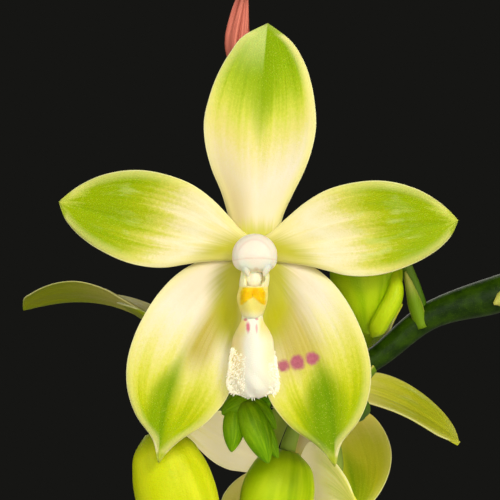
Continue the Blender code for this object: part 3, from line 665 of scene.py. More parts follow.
def tepal_sheet(tepal, change, seed, sign):
    """Front and back points of a tepal in the flower's frame, with the notes for its material.

    change is how many degrees it is turned, bent forward at base and tip, and twisted."""
    turn_by, base_by, tip_by, twist_by = change
    first, last = tepal["heading"]
    near, far = tepal["pitch"]
    first, last, near, far = first + turn_by * 0.5, last + turn_by, near + base_by, far + tip_by

    # the line of the midrib, in many short steps
    share = (np.arange(LINE_STEPS) + 0.5) / LINE_STEPS
    heading = np.radians(np.interp(share, (0, 1), (first, last)))
    pitch = np.radians(np.interp(share, (0, 1), (near, far)))
    ahead = np.stack([np.cos(heading) * np.cos(pitch), np.sin(heading) * np.cos(pitch),
                      np.sin(pitch)], axis=1)
    line = np.concatenate([np.zeros((1, 3)), np.cumsum(ahead, axis=0) * tepal["length"] / LINE_STEPS])

    # where the rows cross it, and which way is sideways and forward in each row
    u = (np.linspace(0, 1, TEPAL_ROWS) ** 0.9)[:, None]
    v = np.sin(np.linspace(-1, 1, TEPAL_COLUMNS) * math.pi / 2 * 0.94)[None, :]
    v = v / v.max()
    spot = np.stack([np.interp(u[:, 0] * LINE_STEPS, range(LINE_STEPS + 1), line[:, k])
                     for k in range(3)], axis=1)
    turn = np.radians(np.interp(u[:, 0], (0, 1), (first, last)))
    tilt = np.radians(np.interp(u[:, 0], (0, 1), (near, far)))
    twist = np.radians(twist_by * np.interp(u[:, 0], (0, 0.35, 1), (0, 0.6, 1)))[:, None]
    flat = np.stack([-np.sin(turn), np.cos(turn), 0 * turn], axis=1)
    up = np.stack([-np.cos(turn) * np.sin(tilt), -np.sin(turn) * np.sin(tilt), np.cos(tilt)], axis=1)
    side = flat * np.cos(twist) + up * np.sin(twist)
    forward = up * np.cos(twist) - flat * np.sin(twist)

    # the blade: cupped, with a wavy and rolled edge and a groove along the midrib
    half = np.where(v > 0, np.maximum(eased(tepal["left"], u), LEAST_HALF),
                    np.maximum(eased(tepal["right"], u), LEAST_HALF))
    cup = tepal["cup"] * v * v * np.minimum(1.0, 2.5 * u) * half / 7
    wave = 0.22 * np.sin(math.tau * (1.6 * u + 0.31 * seed) + 1.3 * np.sign(v)) * v ** 4
    roll = -0.30 * np.clip((np.abs(v) - 0.86) / 0.14, 0, 1) ** 2
    groove = -0.34 * np.exp(-(v * half / 0.75) ** 2) * np.clip(3 * u, 0, 1) * (1 - u) ** 0.3
    lift = cup + (wave * np.minimum(1.0, 2 * u) + roll + groove) * np.clip((1 - u) / 0.12, 0, 1)
    middle = (np.array(tepal["start"]) + spot[:, None, :] + side[:, None, :] * (v * half)[:, :, None]
              + forward[:, None, :] * lift[:, :, None])
    normal = grid_normals(middle)
    if (normal * forward[:, None, :]).sum() < 0:
        normal = -normal
    thick = 0.10 + (0.30 + 0.5 * np.clip(1 - 5 * u, 0, 1)) * (1 - np.abs(v) ** 2.5)
    keel = 0.30 * np.exp(-(v * half / 0.8) ** 2) * (1 - u) ** 0.4

    # the notes: share of the width, share of the length and seed, then margin, offset and face
    across = np.broadcast_to(v, half.shape)
    along = np.broadcast_to(u, half.shape)
    place = np.stack([sign * across, along, np.full(half.shape, float(seed))], axis=2).reshape(-1, 3)
    margin = (1 - np.abs(across)) * half
    edges = [np.stack([margin, sign * across * half, np.full(half.shape, face)], axis=2).reshape(-1, 3)
             for face in (1.0, 0.0)]
    return (sheet_points(middle, normal, thick, thick + keel), np.concatenate([place, place]),
            np.concatenate(edges))


test = tepal_sheet(TEPALS["dorsal"], (0, 0, 0, 0), 1, 1)[0]
print("dorsal sepal:", np.round(test.max(axis=0) - test.min(axis=0), 1), "mm")

# %% [markdown]
# ## The five blooms
# Each bloom has a centre, a facing and a roll about its own axis. On a real spray no two blooms
# open alike, so each tepal of the back ones is turned, pitched or twisted by a few degrees, and
# some, with a neighbour in the way, by much more.

# %% Where the blooms are
# Places and facings are (right, up, behind). A pose gives the change of each tepal in degrees. node is
# the share of the stem where the stalk leaves, via its points on the way, and lead how far it runs
# straight behind the bloom.
BLOOMS = {
    "front": {"centre": (0.0, 0.0, 0.0), "facing": (0.0, 0.0, -1.0), "roll": 0.0,
              "node": 0.953, "via": ((6.0, -7.5, 10.6),), "pose": {}},
    "lower_right": {"centre": (6.1, -20.6, 64.1), "facing": (0.37, 0.97, -0.46), "roll": -46.1,
                    "node": 0.962, "lead": 5.0,
                    "via": ((14.9, -22.4, 18.5), (12.9, -22.3, 35.2), (1.7, -35.1, 47.6)),
                    "pose": {"dorsal": (-9, 9, 14, 10), "petal_right": (-22, 12, 1, -5),
                             "petal_left": (8, 2, 0, 14), "lateral_right": (21, 0, -26, 28),
                             "lateral_left": (-23, 5, 22, -12)}},
    "lower": {"centre": (5.6, -34.5, 32.8), "facing": (-0.52, -0.07, -0.32), "roll": -11.0,
              "node": 0.962, "lead": 3.5, "via": ((15.8, -22.1, 20.3), (11.2, -24.2, 37.6)),
              "pose": {"dorsal": (-25, -23, -15, -28), "petal_right": (0, 4, 27, -3),
                       "petal_left": (-7, 8, 34, -31), "lateral_right": (-27, -22, 16, 10),
                       "lateral_left": (-16, 6, -30, -8)}},
    "left": {"centre": (-8.8, -13.6, 33.3), "facing": (0.65, 1.14, 0.14), "roll": -28.0,
             "node": 0.95, "via": ((6.1, -19.2, 15.5), (-6.3, -21.6, 19.2)),
             "pose": {"dorsal": (-15, 12, -34, -16), "petal_right": (-16, 11, 23, -21),
                      "petal_left": (22, -19, 15, 10), "lateral_right": (38, 11, 15, 23),
                      "lateral_left": (-29, 0, 15, 8)}},
    "arch": {"centre": (70.0, 18.5, -4.0), "facing": (0.34, 0.20, -0.92), "roll": -6.0,
             "node": 0.80, "via": ((66.0, 9.0, 9.0),),
             "pose": {"petal_right": (0, 2, 4, 5), "petal_left": (0, 2, 4, -5)}},
}


def flower_frame(centre, facing, roll):
    """x to the flower's right, y to its top, z where it faces, in millimetres."""
    z = direction(facing)
    up = Vector((0, 0, 1))
    y = (up - z * up.dot(z)).normalized()
    y.rotate(Matrix.Rotation(math.radians(roll), 3, z))
    x = y.cross(z)
    return Matrix.Translation(world(centre)) @ Matrix((x, y, z)).transposed().to_4x4()


PLACES = {name: flower_frame(b["centre"], b["facing"], b["roll"]) for name, b in BLOOMS.items()}
print("blooms:", ", ".join(PLACES))

# %% A skin with purple spots
# Each spot's place, as right and up from the front bloom, and its radius
SPOTS = ((3.85, -15.2, 0.92), (5.85, -14.75, 1.14), (7.95, -14.2, 1.02))


def spotted(skin, name):
    """The same skin with three purple spots, placed in the front bloom."""
    made = skin.copy()
    made.name = name
    s = Shading(made.node_tree)
    shader = made.node_tree.nodes["Principled BSDF"]
    plain = shader.inputs["Base Color"].links[0].from_socket
    x, _, z = s.parts(s.place())
    mask = 0.0
    for right, up, radius in SPOTS:
        dx = s.minus(x, (FRONT.x + right) * MM)
        dz = s.minus(z, (FRONT.z + up) * MM)
        ragged = s.times(s.minus(s.noise(s.place(), 1600.0), 0.5), 0.0006)
        away = s.plus(s.diagonal(dx, dz), ragged)
        spot = s.between(away, (radius - 0.45) * MM, (radius + 0.25) * MM, 1.0, 0.0)
        mask = s.math("MAXIMUM", mask, spot)
    mask = s.times(mask, s.parts(s.note("edge"))[2])
    purple = s.mix(s.noise(s.place(), 2500.0), screen(166, 50, 104), screen(206, 92, 140))
    s.give(shader.inputs["Base Color"], s.mix(s.times(mask, 0.86), plain, purple))
    return made


SPOTTED_SKIN = spotted(DEEPER_SKIN, "lateral_sepal_spotted")
print("spots:", len(SPOTS))

# %% Make the tepals of every bloom
# The hub behind the tepals, as (radius, distance in front of the bloom's middle)
HUB = ((0.02, 0.2), (2.4, 0.2), (3.0, -0.3), (3.15, -0.9), (3.0, -1.6), (2.4, -2.4), (1.9, -3.0),
       (0.02, -3.0))
HUB_SIDES = 32


def make_tepals(name, bloom, number):
    """Five tepals and the hub behind them, with streaks that differ by the bloom's number."""
    shells = Pieces("place", "edge")
    for i, (part, tepal) in enumerate(TEPALS.items()):
        change = bloom["pose"].get(part, (0, 0, 0, 0))
        points, place, edge = tepal_sheet(tepal, change, number * 5 + i, SIGNS[part])
        slot = 3 if name == "front" and part == "lateral_right" else SKINS[part]
        shells.shell(points, sheet_faces(TEPAL_ROWS, TEPAL_COLUMNS), slot, place=place, edge=edge)
    shells.shell(lathe_rings(HUB, HUB_SIDES), ring_faces(len(HUB), HUB_SIDES), 1,
                 place=(0.0, 0.06, 1.0), edge=(3.0, 3.0, 1.0))
    skins = [DORSAL_SKIN, PETAL_SKIN, LATERAL_SKIN, SPOTTED_SKIN]
    if name in OLDER_SKINS:
        skins = [*OLDER_SKINS[name], FAR_LATERAL_SKIN, SPOTTED_SKIN]
    piece = shells.piece(f"{name}_bloom_tepals", skins, PLACES[name])
    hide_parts(f"bloom_{name}_tepals")
    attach(piece, "root")
    return piece


tepal_pieces = [make_tepals(name, bloom, n + 1) for n, (name, bloom) in enumerate(BLOOMS.items())]
print("tepal faces in all:", sum(len(p.data.polygons) for p in tepal_pieces))

# %% [markdown]
# ## Column
# In an orchid the stamens and the style have grown into one part, the column. Seen from the front it
# is a pearly rounded hood with a crease across it, where the cap over the pollen sits, two small
# teeth under the crease, and a smooth white tongue that leads down to the lip. The hood is rings of
# points pushed in along the crease. The teeth and the tongue are small bodies set into it.

# %% The column's finish
PEARL, s, shader = new_material("pearly_column", 0.42, Subsurface_Weight=0.3, Subsurface_Scale=0.0016,
                                Specular_IOR_Level=0.3)
x, y, z = s.parts(s.note("flower_place"))
cells = s.use(cells_group, Scale=4600.0)
pearl = s.mix(s.between(y, -2.4, 0.2), screen(255, 243, 208), screen(252, 238, 216))
pearl = s.mix(s.between(z, 0.6, 2.6, 0.6, 0.0), pearl, screen(232, 226, 120))
ahead = s.between(z, 5.0, 6.0)


def marked(below, distance, near, far, strength, tone):
    """The colour below with a soft mark on the front, strongest where distance is least."""
    share = s.times(s.between(distance, near, far, strength, 0.0), ahead)
    return s.mix(share, below, tone)


# painted shade: a pinkish beige line in the crease across the front
crease = s.math("ABSOLUTE", s.plus(y, s.times(x, x, 0.03)))
pearl = marked(pearl, crease, 0.02, 0.18, 0.32, screen(232, 196, 160))
arc = s.math("ABSOLUTE", s.minus(s.away(x, y, -0.22, -0.2, 3.1, 3.6), 0.78))
arc = s.plus(arc, s.between(y, 0.2, 1.4, 0.2, 0.0))
pearl = marked(pearl, arc, 0.0, 0.08, 0.4, screen(244, 208, 186))
# painted shade in the small hollow under the crease
hollow = s.away(x, y, 0.0, -1.5, 0.4, 0.35)
pearl = marked(pearl, hollow, 0.3, 1.2, 0.45, screen(224, 196, 150))
pearl = s.mix(s.times(cells["Grain"], 0.12), pearl, screen(246, 226, 206))
s.give(shader.inputs["Base Color"], pearl)
s.bump(shader, cells["Height"], 0.2, 0.00008)
print("column finish:", PEARL.name)

# %% The column's tongues and teeth
TOOTH_RADII = ((0.0, 0.7), (0.4, 0.68), (0.8, 0.34), (1.0, 0.1))
TOOTH_SIDES = 16


def body_of(centre, radii, tilt=0.0, sides=24, levels=14):
    """A round egg-shaped body as rings, tilted about x by a few degrees."""
    rings = []
    for k in range(levels + 1):
        a = math.pi * (k + 0.02) / (levels + 0.04)
        rings.append([(math.sin(a) * math.cos(b), -math.cos(a), math.sin(a) * math.sin(b))
                      for b in circle(sides)])
    turn = np.array(Matrix.Rotation(math.radians(tilt), 3, "X"))
    return (np.array(rings) * np.array(radii)) @ turn.T + np.array(centre)


def tooth(side):
    """One of the two points that hang below the cap, from its broad root to its tip."""
    path = smooth_path([(side * 1.5, -0.5, 6.6), (side * 1.38, -1.5, 6.75),
                        (side * 1.1 - 0.02, -2.55, 6.75)], 0.12)
    radii = eased(TOOTH_RADII, np.linspace(0, 1, len(path)))
    return tube_rings(path, radii, TOOTH_SIDES, (1.0, 0.0, 0.0))


print("rings of a tooth:", len(tooth(1)))

# %% The column's shape
# Each ring's distance in front of the tepals, height of its middle, half-width and half-height
COLUMN_RINGS = ((1.25, 0.2, 1.9, 1.6), (2.8, 0.4, 2.2, 1.9), (4.4, 0.4, 2.85, 2.5),
                (5.6, 0.4, 3.15, 3.0), (6.4, 0.35, 3.05, 2.95), (7.1, 0.25, 2.6, 2.5),
                (7.6, 0.1, 1.85, 1.7), (7.9, 0.1, 0.4, 0.35))
COLUMN_SIDES, COLUMN_LEVELS = 72, 44


def make_column(name):
    """The hood, the small tongue under it, the two teeth and the larger tongue behind them."""
    shells = Pieces("flower_place")
    levels = np.linspace(0, 1, COLUMN_LEVELS) ** 0.8
    depth = COLUMN_RINGS[0][0] + levels * (COLUMN_RINGS[-1][0] - COLUMN_RINGS[0][0])
    middle, wide, high = (eased(tuple((row[0], row[k]) for row in COLUMN_RINGS), depth)
                          for k in (1, 2, 3))

    # each level is round above, and squarer and flatter below
    angles = circle(COLUMN_SIDES)
    square = np.where(np.sin(angles) < 0, 0.68, 1.0)
    x = wide[:, None] * np.sign(np.cos(angles)) * np.abs(np.cos(angles)) ** square - 0.2
    y = middle[:, None] + high[:, None] * np.sign(np.sin(angles)) * np.abs(np.sin(angles)) ** square
    y = np.where(y < middle[:, None], middle[:, None] + (y - middle[:, None]) * 0.78, y)

    # the front is pushed in along the crease, and a little below it
    z = np.broadcast_to(depth[:, None], x.shape)
    fold = y + 0.03 * x * x
    face = np.clip((z - 5.0) / 1.5, 0, 1)
    z = z - face * (0.10 * np.exp(-(fold / 0.13) ** 2) + 0.14 * np.clip(-fold / 0.3, 0, 1))
    small_tongue = body_of((-0.28, -2.95, 5.4), (1.28, 1.65, 1.05), 6)
    large_tongue = body_of((-0.2, -2.7, 4.3), (1.75, 1.9, 0.9))
    for rings in (np.stack([x, y, z], axis=2), small_tongue, tooth(-1), tooth(1), large_tongue):
        shells.shell(rings, ring_faces(*rings.shape[:2]), flower_place=rings.reshape(-1, 3))
    piece = shells.piece(f"{name}_bloom_column", [PEARL], PLACES[name])
    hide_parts(f"bloom_{name}_column")
    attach(piece, "root")
    return piece


column_pieces = [make_column(name) for name in BLOOMS]
print("column faces:", len(column_pieces[0].data.polygons))

# %% [markdown]
# ## Lip
# The lip is the third petal, changed out of all likeness. Two ears stand up beside the column's
# tongue. Between them lies an orange-yellow callus with a pale notch at its foot, then the lip
# narrows to a waist with a few pink marks, and widens into a drooping lobe with a white ridge down
# its middle and white hairs on its flanks and edge. It is made as two sheets, the bib with the
# ears and the lobe, with the hairs as real little cones, because they show against the green.

# %% The lip's finish
# Each pink mark at the waist: its middle, half-width, half-height and strength
PINK_MARKS = ((-1.13, -9.65, 0.30, 0.75, 0.85), (-1.45, -8.6, 0.24, 0.20, 0.7),
              (0.10, -8.5, 0.20, 0.18, 0.6), (0.06, -9.8, 0.15, 0.65, 0.5))

LIP_SKIN, s, shader = new_material("lip", 0.46, Subsurface_Weight=0.2, Subsurface_Scale=0.0012,
                                   Specular_IOR_Level=0.1)
x, y, _ = s.parts(s.note("flower_place"))
cells = s.use(cells_group, Scale=5600.0)
uneven = s.minus(s.noise(s.place(), 900.0), 0.5)
centred = s.plus(x, 0.46)
sideways = s.math("ABSOLUTE", centred)

# the lobe: a white ridge, a yellower left flank, partly its own colour and partly painted shade
# where it turns away from the light, and white again along the lower edge
lobe = s.mix(s.between(sideways, 0.6, 2.4), screen(255, 250, 226), screen(255, 244, 194))
flank = s.times(s.between(centred, -2.2, -0.9, 0.8, 0.0), s.between(y, -18.6, -14.5))
lobe = s.mix(flank, lobe, screen(255, 232, 152))
lobe = s.mix(s.between(y, -18.8, -13.0, 0.7, 0.0), lobe, screen(255, 251, 228))
throat = s.times(s.between(y, -12.0, -9.4), s.between(sideways, 0.5, 1.3))
lobe = s.mix(s.times(throat, 0.8), lobe, screen(244, 222, 120))

# the bib: pale yellow, with the orange band in the form of a broad moustache
bib = s.mix(s.between(y, -8.6, -7.0), screen(255, 246, 206), screen(255, 236, 124))
notch = s.plus(s.times(sideways, -0.80), -5.35, s.times(uneven, 0.8))
outward = s.plus(sideways, s.between(y, -4.9, -4.1, 0.0, 0.35))
orange = s.times(s.between(s.minus(y, notch), -0.25, 0.25), s.between(y, -4.2, -4.0, 1.0, 0.0),
                 s.between(outward, 1.6, 1.95, 1.0, 0.0), s.between(y, -6.75, -6.35))
tone = s.mix(s.between(uneven, -0.25, 0.25), screen(255, 194, 0), screen(255, 220, 0))
bib = s.mix(orange, bib, tone)
bib = s.mix(s.between(y, -4.15, -3.8), bib, screen(255, 248, 196))
colour = s.mix(s.between(y, -8.9, -8.0), lobe, bib)

# the pink marks, the grain, and fine lines on the ears
for *mark, strength in PINK_MARKS:
    away = s.plus(s.away(x, y, *mark), uneven)
    colour = s.mix(s.between(away, 0.5, 1.4, strength, 0.0), colour, screen(224, 92, 124))
colour = s.mix(s.times(cells["Grain"], 0.06), colour, screen(255, 253, 242))
lines = s.use(veins_group, Place=s.vector(x, s.times(y, 0.1), 5.0), Count=5.0, Length=1.0,
              Low=0.35, High=0.6)["Streak"]
lined = s.times(s.between(y, -4.6, -3.6, 0.0, 0.3), lines)
colour = s.mix(lined, colour, screen(226, 206, 110))
s.give(shader.inputs["Base Color"], colour)
s.bump(shader, cells["Height"], 0.3, 0.0001)
print("lip finish:", LIP_SKIN.name)

# %% The hairs' finish
# painted light: the hairs give off a little light of their own colour, which lifts the shade between
# them
HAIR, s, shader = new_material("lip_hairs", 0.5, Specular_IOR_Level=0.1, Emission_Strength=0.26)
tone = s.mix(s.noise(s.place(), 700.0), screen(255, 253, 238), screen(255, 242, 208))
s.give(shader.inputs["Base Color"], tone)
s.give(shader.inputs["Emission Color"], tone)
print("hair finish:", HAIR.name)

# %% The lip's surfaces
# All of these go by height in the flower: half-widths, and how far the surface stands forward
BIB_HALF = ((-8.8, 1.42), (-8.2, 1.38), (-7.5, 1.55), (-6.8, 1.8), (-5.4, 2.08), (-4.2, 1.95),
            (-3.0, 2.0), (-1.4, 1.75))
BIB_RISE = ((-8.8, 5.75), (-7.4, 6.4), (-6.0, 6.8), (-4.6, 6.8), (-3.0, 6.6), (-1.4, 5.9))
LOBE_HALF = ((-19.35, 1.2), (-19.0, 2.4), (-18.4, 3.15), (-17.5, 3.4), (-15.0, 3.15), (-12.9, 2.92),
             (-11.1, 2.68), (-10.0, 2.2), (-8.9, 1.55), (-8.1, 1.4))
LOBE_MIDDLE = ((-19.4, 5.3), (-18.4, 6.1), (-16.0, 6.8), (-12.0, 6.6), (-8.1, 5.5))
LIP_SIDE = -0.52


def lobe_point(y, across):
    """A point of the lobe's middle surface. The left flank falls away more than the right one."""
    half = eased(LOBE_HALF, y)
    ridge = eased(LOBE_MIDDLE, y)
    off = across - 0.15
    steep = np.where(off < 0, 2.5, 1.5) * np.clip((-8.0 - y) / 3.0, 0.5, 1)
    drop = steep * np.abs(off) ** 1.9 * half / 3.2
    shift = LIP_SIDE + 0.08 * np.clip((-8.6 - y) / 2.5, 0, 1)
    return np.stack([across * half + shift, y + 0 * across, ridge - drop], axis=-1)


def bib_point(t, across):
    """A point of the bib: t goes up from the waist, and the ears reach higher than the middle."""
    top = -4.0 + 2.6 * np.clip((np.abs(across) - 0.52) / 0.2, 0, 1) ** 1.3
    y = -8.7 + t * (top + 8.7)
    half = eased(BIB_HALF, y)
    rise = eased(BIB_RISE, y)
    swell = 0.55 * np.exp(-((y + 5.2) / 1.1) ** 2) * np.exp(-((np.abs(across) - 0.42) / 0.26) ** 2)
    shift = LIP_SIDE + 0.37 * np.clip((y + 5.5) / 3.0, 0, 1)
    return np.stack([across * half + shift, y, rise - 1.2 * across ** 2 + swell], axis=-1)


print("foot of the bib:", np.round(bib_point(np.array(0.0), np.array(0.0)), 1))

# %% Sheets and hairs of the lip
def add_sheet(shells, middle, thick):
    """Adds a closed sheet about a grid of points, with its front to the flower's front."""
    normal = grid_normals(middle)
    if normal[..., 2].sum() < 0:
        normal = -normal
    points = sheet_points(middle, normal, thick, thick)
    shells.shell(points, sheet_faces(*middle.shape[:2]), flower_place=points)


def add_hair(shells, root, way, length, radius, droop):
    """One tapered hair of four sides that bends down."""
    way = np.array(way) / np.linalg.norm(way)
    at = np.linspace(0, 1, 4)[:, None]
    path = root + way * length * at + np.array((0.0, -droop, 0.0)) * length * at * at
    radii = radius * np.array((1.0, 0.85, 0.6, 0.16))
    rings = tube_rings(path, radii, 4, np.cross(way, (0.3, 0.5, 0.8)))
    shells.shell(rings, ring_faces(4, 4), 1, flower_place=rings.reshape(-1, 3))


print("faces of a hair:", len(ring_faces(4, 4)))

# %% Make the lips
BIB_ROWS, LOBE_ROWS, LIP_COLUMNS = 34, 48, 33
EDGE_HAIRS, FRINGE_HAIRS, LEFT_HAIRS, RIGHT_HAIRS = 320, 190, 420, 90


def make_lip(name):
    """The bib with its ears, the lobe, and all the hairs."""
    rng = np.random.default_rng(12)
    shells = Pieces("flower_place")
    columns = np.linspace(-1, 1, LIP_COLUMNS)
    t, across = np.meshgrid(np.linspace(0, 1, BIB_ROWS), columns, indexing="ij")
    thick = (0.12 + 0.3 * (1 - np.abs(across) ** 2)) * np.clip(t / 0.14, 0.12, 1)
    add_sheet(shells, bib_point(t, across), thick)
    y, across = np.meshgrid(np.linspace(-8.1, -19.35, LOBE_ROWS), columns, indexing="ij")
    lobe = lobe_point(y, across)
    lobe[..., 2] += 0.10 * np.sin(across * 9 + y * 2.1) * np.clip((-14 - y) / 4, 0, 1)
    add_sheet(shells, lobe, 0.12 + 0.35 * (1 - np.abs(across) ** 2))

    def root(y, share, lift=0.0):
        """A point on the lobe's middle surface, or lifted in front of it."""
        return lobe_point(np.array(y), np.array(share)) + np.array((0.0, 0.0, lift))

    # hairs at random on both edges, the lower edge and the left flank
    for _ in range(EDGE_HAIRS):
        side = rng.choice((-1, 1))
        y = rng.uniform(-18.9, -12.6 if side < 0 else -13.6)
        low = (-12.6 - y) / 6.3
        way = (side * rng.uniform(0.6, 1.0), -0.3 - 0.7 * low * rng.random(), rng.uniform(-0.1, 0.5))
        add_hair(shells, root(y, side * rng.uniform(0.9, 1.0)), way,
                 rng.uniform(0.28, 0.52) + 0.25 * low * rng.random(), 0.085, 0.25)
    for _ in range(FRINGE_HAIRS):
        share = rng.uniform(-0.95, 0.85)
        y = -19.25 + 0.9 * share * share * rng.uniform(0.8, 1.2) + 0.25 * rng.random()
        way = (share * 0.6 + rng.uniform(-0.25, 0.25), -1.0, rng.uniform(0.0, 0.8))
        add_hair(shells, root(y, share), way, rng.uniform(0.15, 0.42), 0.11, 0.1)
    for _ in range(LEFT_HAIRS):
        share = -rng.uniform(0.28, 0.99)
        y = rng.uniform(-18.9, -12.2 - 2.0 * (1 + share))
        way = (-rng.uniform(0.5, 1.0), rng.uniform(-0.9, 0.0), rng.uniform(0.25, 0.7))
        add_hair(shells, root(y, share, 0.25), way, rng.uniform(0.25, 0.5), 0.075, 0.3)

    # even rows of stouter ones down the right edge and along the lower edge, and the right flank
    for y in np.arange(-13.0, -19.0, -0.25):
        low = (-13.0 - y) / 6
        way = (1.0, -0.2 - 0.7 * low * rng.random(), rng.uniform(-0.1, 0.3))
        add_hair(shells, root(y, 0.96), way, rng.uniform(0.3, 0.5) + 0.2 * low, 0.12, 0.1)
    for share in np.linspace(-0.92, 0.9, 26):
        way = (share * 0.7 + rng.uniform(-0.3, 0.3), -1.0, rng.uniform(0.1, 0.6))
        y = -19.2 + 0.9 * share * share
        add_hair(shells, root(y, share), way, rng.uniform(0.3, 0.75), 0.13, 0.05)
    for _ in range(RIGHT_HAIRS):
        share = rng.uniform(0.62, 0.98)
        y = rng.uniform(-18.8, -14.5)
        way = (rng.uniform(0.5, 1.0), rng.uniform(-0.7, 0.0), rng.uniform(0.25, 0.6))
        add_hair(shells, root(y, share, 0.2), way, rng.uniform(0.2, 0.35), 0.08, 0.3)
    piece = shells.piece(f"{name}_bloom_lip", [LIP_SKIN, HAIR], PLACES[name])
    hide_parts(f"bloom_{name}_lip")
    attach(piece, "root")
    return piece


lip_pieces = [make_lip(name) for name in BLOOMS]
print("lip faces, hairs and all:", len(lip_pieces[0].data.polygons))

# %% [markdown]
# ## Stem, flower stalks and scale leaves
# The stem is a dark, waxy green bar, thicker at each node, where a scale leaf sits and a flower
# stalk leaves. Stalks start green and turn paler towards the bloom. All of it grew as one, so it is
# one piece. A tube along a smooth path gives the bars, and each scale leaf is a small hollow sheet.

# %% The finish of green stems
STEM_SKIN, s, shader = new_material("stem_skin", 0.42, Specular_IOR_Level=0.13)
kind, share, _ = s.parts(s.note("stem_place"))
cells = s.use(cells_group, Scale=3800.0)
mottled = s.noise(s.place(), 420.0, 3.0)
colour = s.mix(s.between(mottled, 0.35, 0.65), screen(24, 48, 0), screen(46, 74, 0))
pale = s.mix(s.between(share, 0.0, 1.0), screen(74, 112, 16), screen(150, 172, 66))
colour = s.mix(s.between(kind, 0.3, 0.7), colour, pale)
leaf = s.mix(s.between(share, 0.45, 0.95), screen(118, 152, 20), screen(198, 196, 90))
colour = s.mix(s.between(kind, 1.3, 1.7), colour, leaf)
colour = s.mix(s.times(cells["Grain"], 0.12), colour, screen(112, 140, 20))
s.give(shader.inputs["Base Color"], colour)
s.bump(shader, cells["Height"], 0.25, 0.0001)
print("stem finish:", STEM_SKIN.name)

# %% The stem's path and thickness
# Points of the foot, the neck and the rise are in the world, all others are (right, up, behind) from
# the front bloom. A stalk ends a small gap short of what it bears, and a bloom's hub ends HUB_BACK
# behind its middle. Each radius is given at a share of the length.
GAP = 0.3
HUB_BACK = 3.0
STALK_LEAD, BUD_LEAD = 8.5, 4.2
STEM_FOOT = Vector((5.0, 0.0, 5.2))
STEM_AT_NECK = Vector((-3.8, 0.0, 105.0))
STEM_RISE = ((-4.7, 0.0, 118.0), (-3.9, -0.4, 134.0), (-1.2, -1.2, 152.0), (1.4, -1.8, 170.0),
             (0.6, -1.9, 188.0), (-5.4, -1.4, 205.0), (-15.8, -0.6, 217.5), (-29.4, 0.2, 223.8),
             (-44.6, 0.8, 223.6))
STEM_ALONG_FLOWERS = ((35.5, -5.2, 13.0), (25.4, -8.4, 13.0), (16.6, -15.1, 13.0),
                      (7.8, -19.0, 12.0), (1.6, -20.4, 9.4))
STEM_RADII = ((0.0, 2.7), (0.3, 2.6), (0.55, 2.4), (0.75, 2.1), (0.84, 2.1), (0.878, 2.7),
              (0.905, 2.1), (0.93, 1.8), (0.96, 1.5), (1.0, 1.3))
BRACT_SHAPE = ((0.0, 0.75), (0.35, 1.0), (0.7, 0.65), (0.9, 0.3), (1.0, 0.0))
# Scale leaves at nodes without a stalk: the share of the stem, and the way each one faces
BARE_BRACTS = ((0.47, (1.0, -0.4, 0.0)), (0.60, (-0.6, -0.4, 0.6)), (0.864, (0.0, -1.0, -0.35)))
BRACT_ROWS, BRACT_COLUMNS = 16, 11
STALK_RADII = ((0.0, 1.25), (0.3, 1.1), (0.75, 1.3), (1.0, 1.7))
BUD_STALK_RADII = ((0.0, 1.1), (0.5, 0.95), (1.0, 1.2))
STEM_SIDES, STALK_SIDES = 28, 16
# tone is how ripe a bud looks, from 0 for green to 2 for one that opens soon
BUDS = {
    "bud_right": {"base": (15.5, 3.6, 7.6), "tip": (15.9, -10.9, 6.8), "width": 10.4, "tone": 1.15,
                  "node": 0.914, "via": ((22.9, -4.1, 12.4), (21.6, -1.0, 11.2), (18.4, 6.4, 8.8))},
    "bud_lower_left": {"base": (-14.3, -25.1, 9.0), "tip": (-7.8, -47.2, 8.0), "width": 11.6,
                       "tone": 2.0, "node": 0.982, "via": ((-7.0, -17.2, 9.4), (-15.0, -19.8, 8.9))},
    "bud_lower_middle": {"base": (4.6, -28.2, 15.0), "tip": (0.6, -43.9, 14.0), "width": 10.6,
                         "tone": 1.25, "node": 0.976, "via": ((4.8, -21.8, 15.2),)},
}
SPENT_PATH = ((-1.1, 24.0, 8.2), (-2.5, 30.0, 7.4), (-2.3, 35.0, 7.2), (-1.5, 40.0, 7.6))
SPENT = {"node": 0.948, "via": ((5.6, -8.6, 17.2), (1.4, 6.0, 15.6))}

straight = [STEM_FOOT.lerp(STEM_AT_NECK, k) for k in np.linspace(0, 1, 5)]
bends = [Vector(p) for p in STEM_RISE] + [world(p) for p in STEM_ALONG_FLOWERS]
stem_line = smooth_path([*straight, *bends], 1.5)
print("stem:", round(float(np.linalg.norm(np.diff(stem_line, axis=0), axis=1).sum())), "mm long")

# %% Bars, stalks and scale leaves
def along_stem(share):
    """The point of the stem at a share of its length."""
    at = share * (len(stem_line) - 1)
    return Vector([float(np.interp(at, range(len(stem_line)), stem_line[:, k])) for k in range(3)])


def add_bar(shells, path, radii, sides, kind):
    """Adds a round bar along a path. Its kind is 0 for the stem and 1 for a flower stalk."""
    rings = tube_rings(path, radii, sides)
    share = np.repeat(np.linspace(0, 1, len(path)), sides)
    place = np.stack([np.full(len(share), float(kind)), share, np.zeros(len(share))], axis=1)
    shells.shell(rings, ring_faces(len(path), sides), stem_place=place)


def add_stalk(shells, bearer, end, facing, lead, radii):
    """A flower stalk from the stem, by its via points, to the back of what it bears."""
    root = along_stem(bearer["node"])
    way = direction(facing)
    last = world(end) - way * GAP * 0.2
    points = [root, *(world(v) for v in bearer["via"]), world(end) - way * lead, last - way]
    path = np.vstack([smooth_path(points, 0.8), last])
    add_bar(shells, path, eased(radii, np.linspace(0, 1, len(path))), STALK_SIDES, 1)


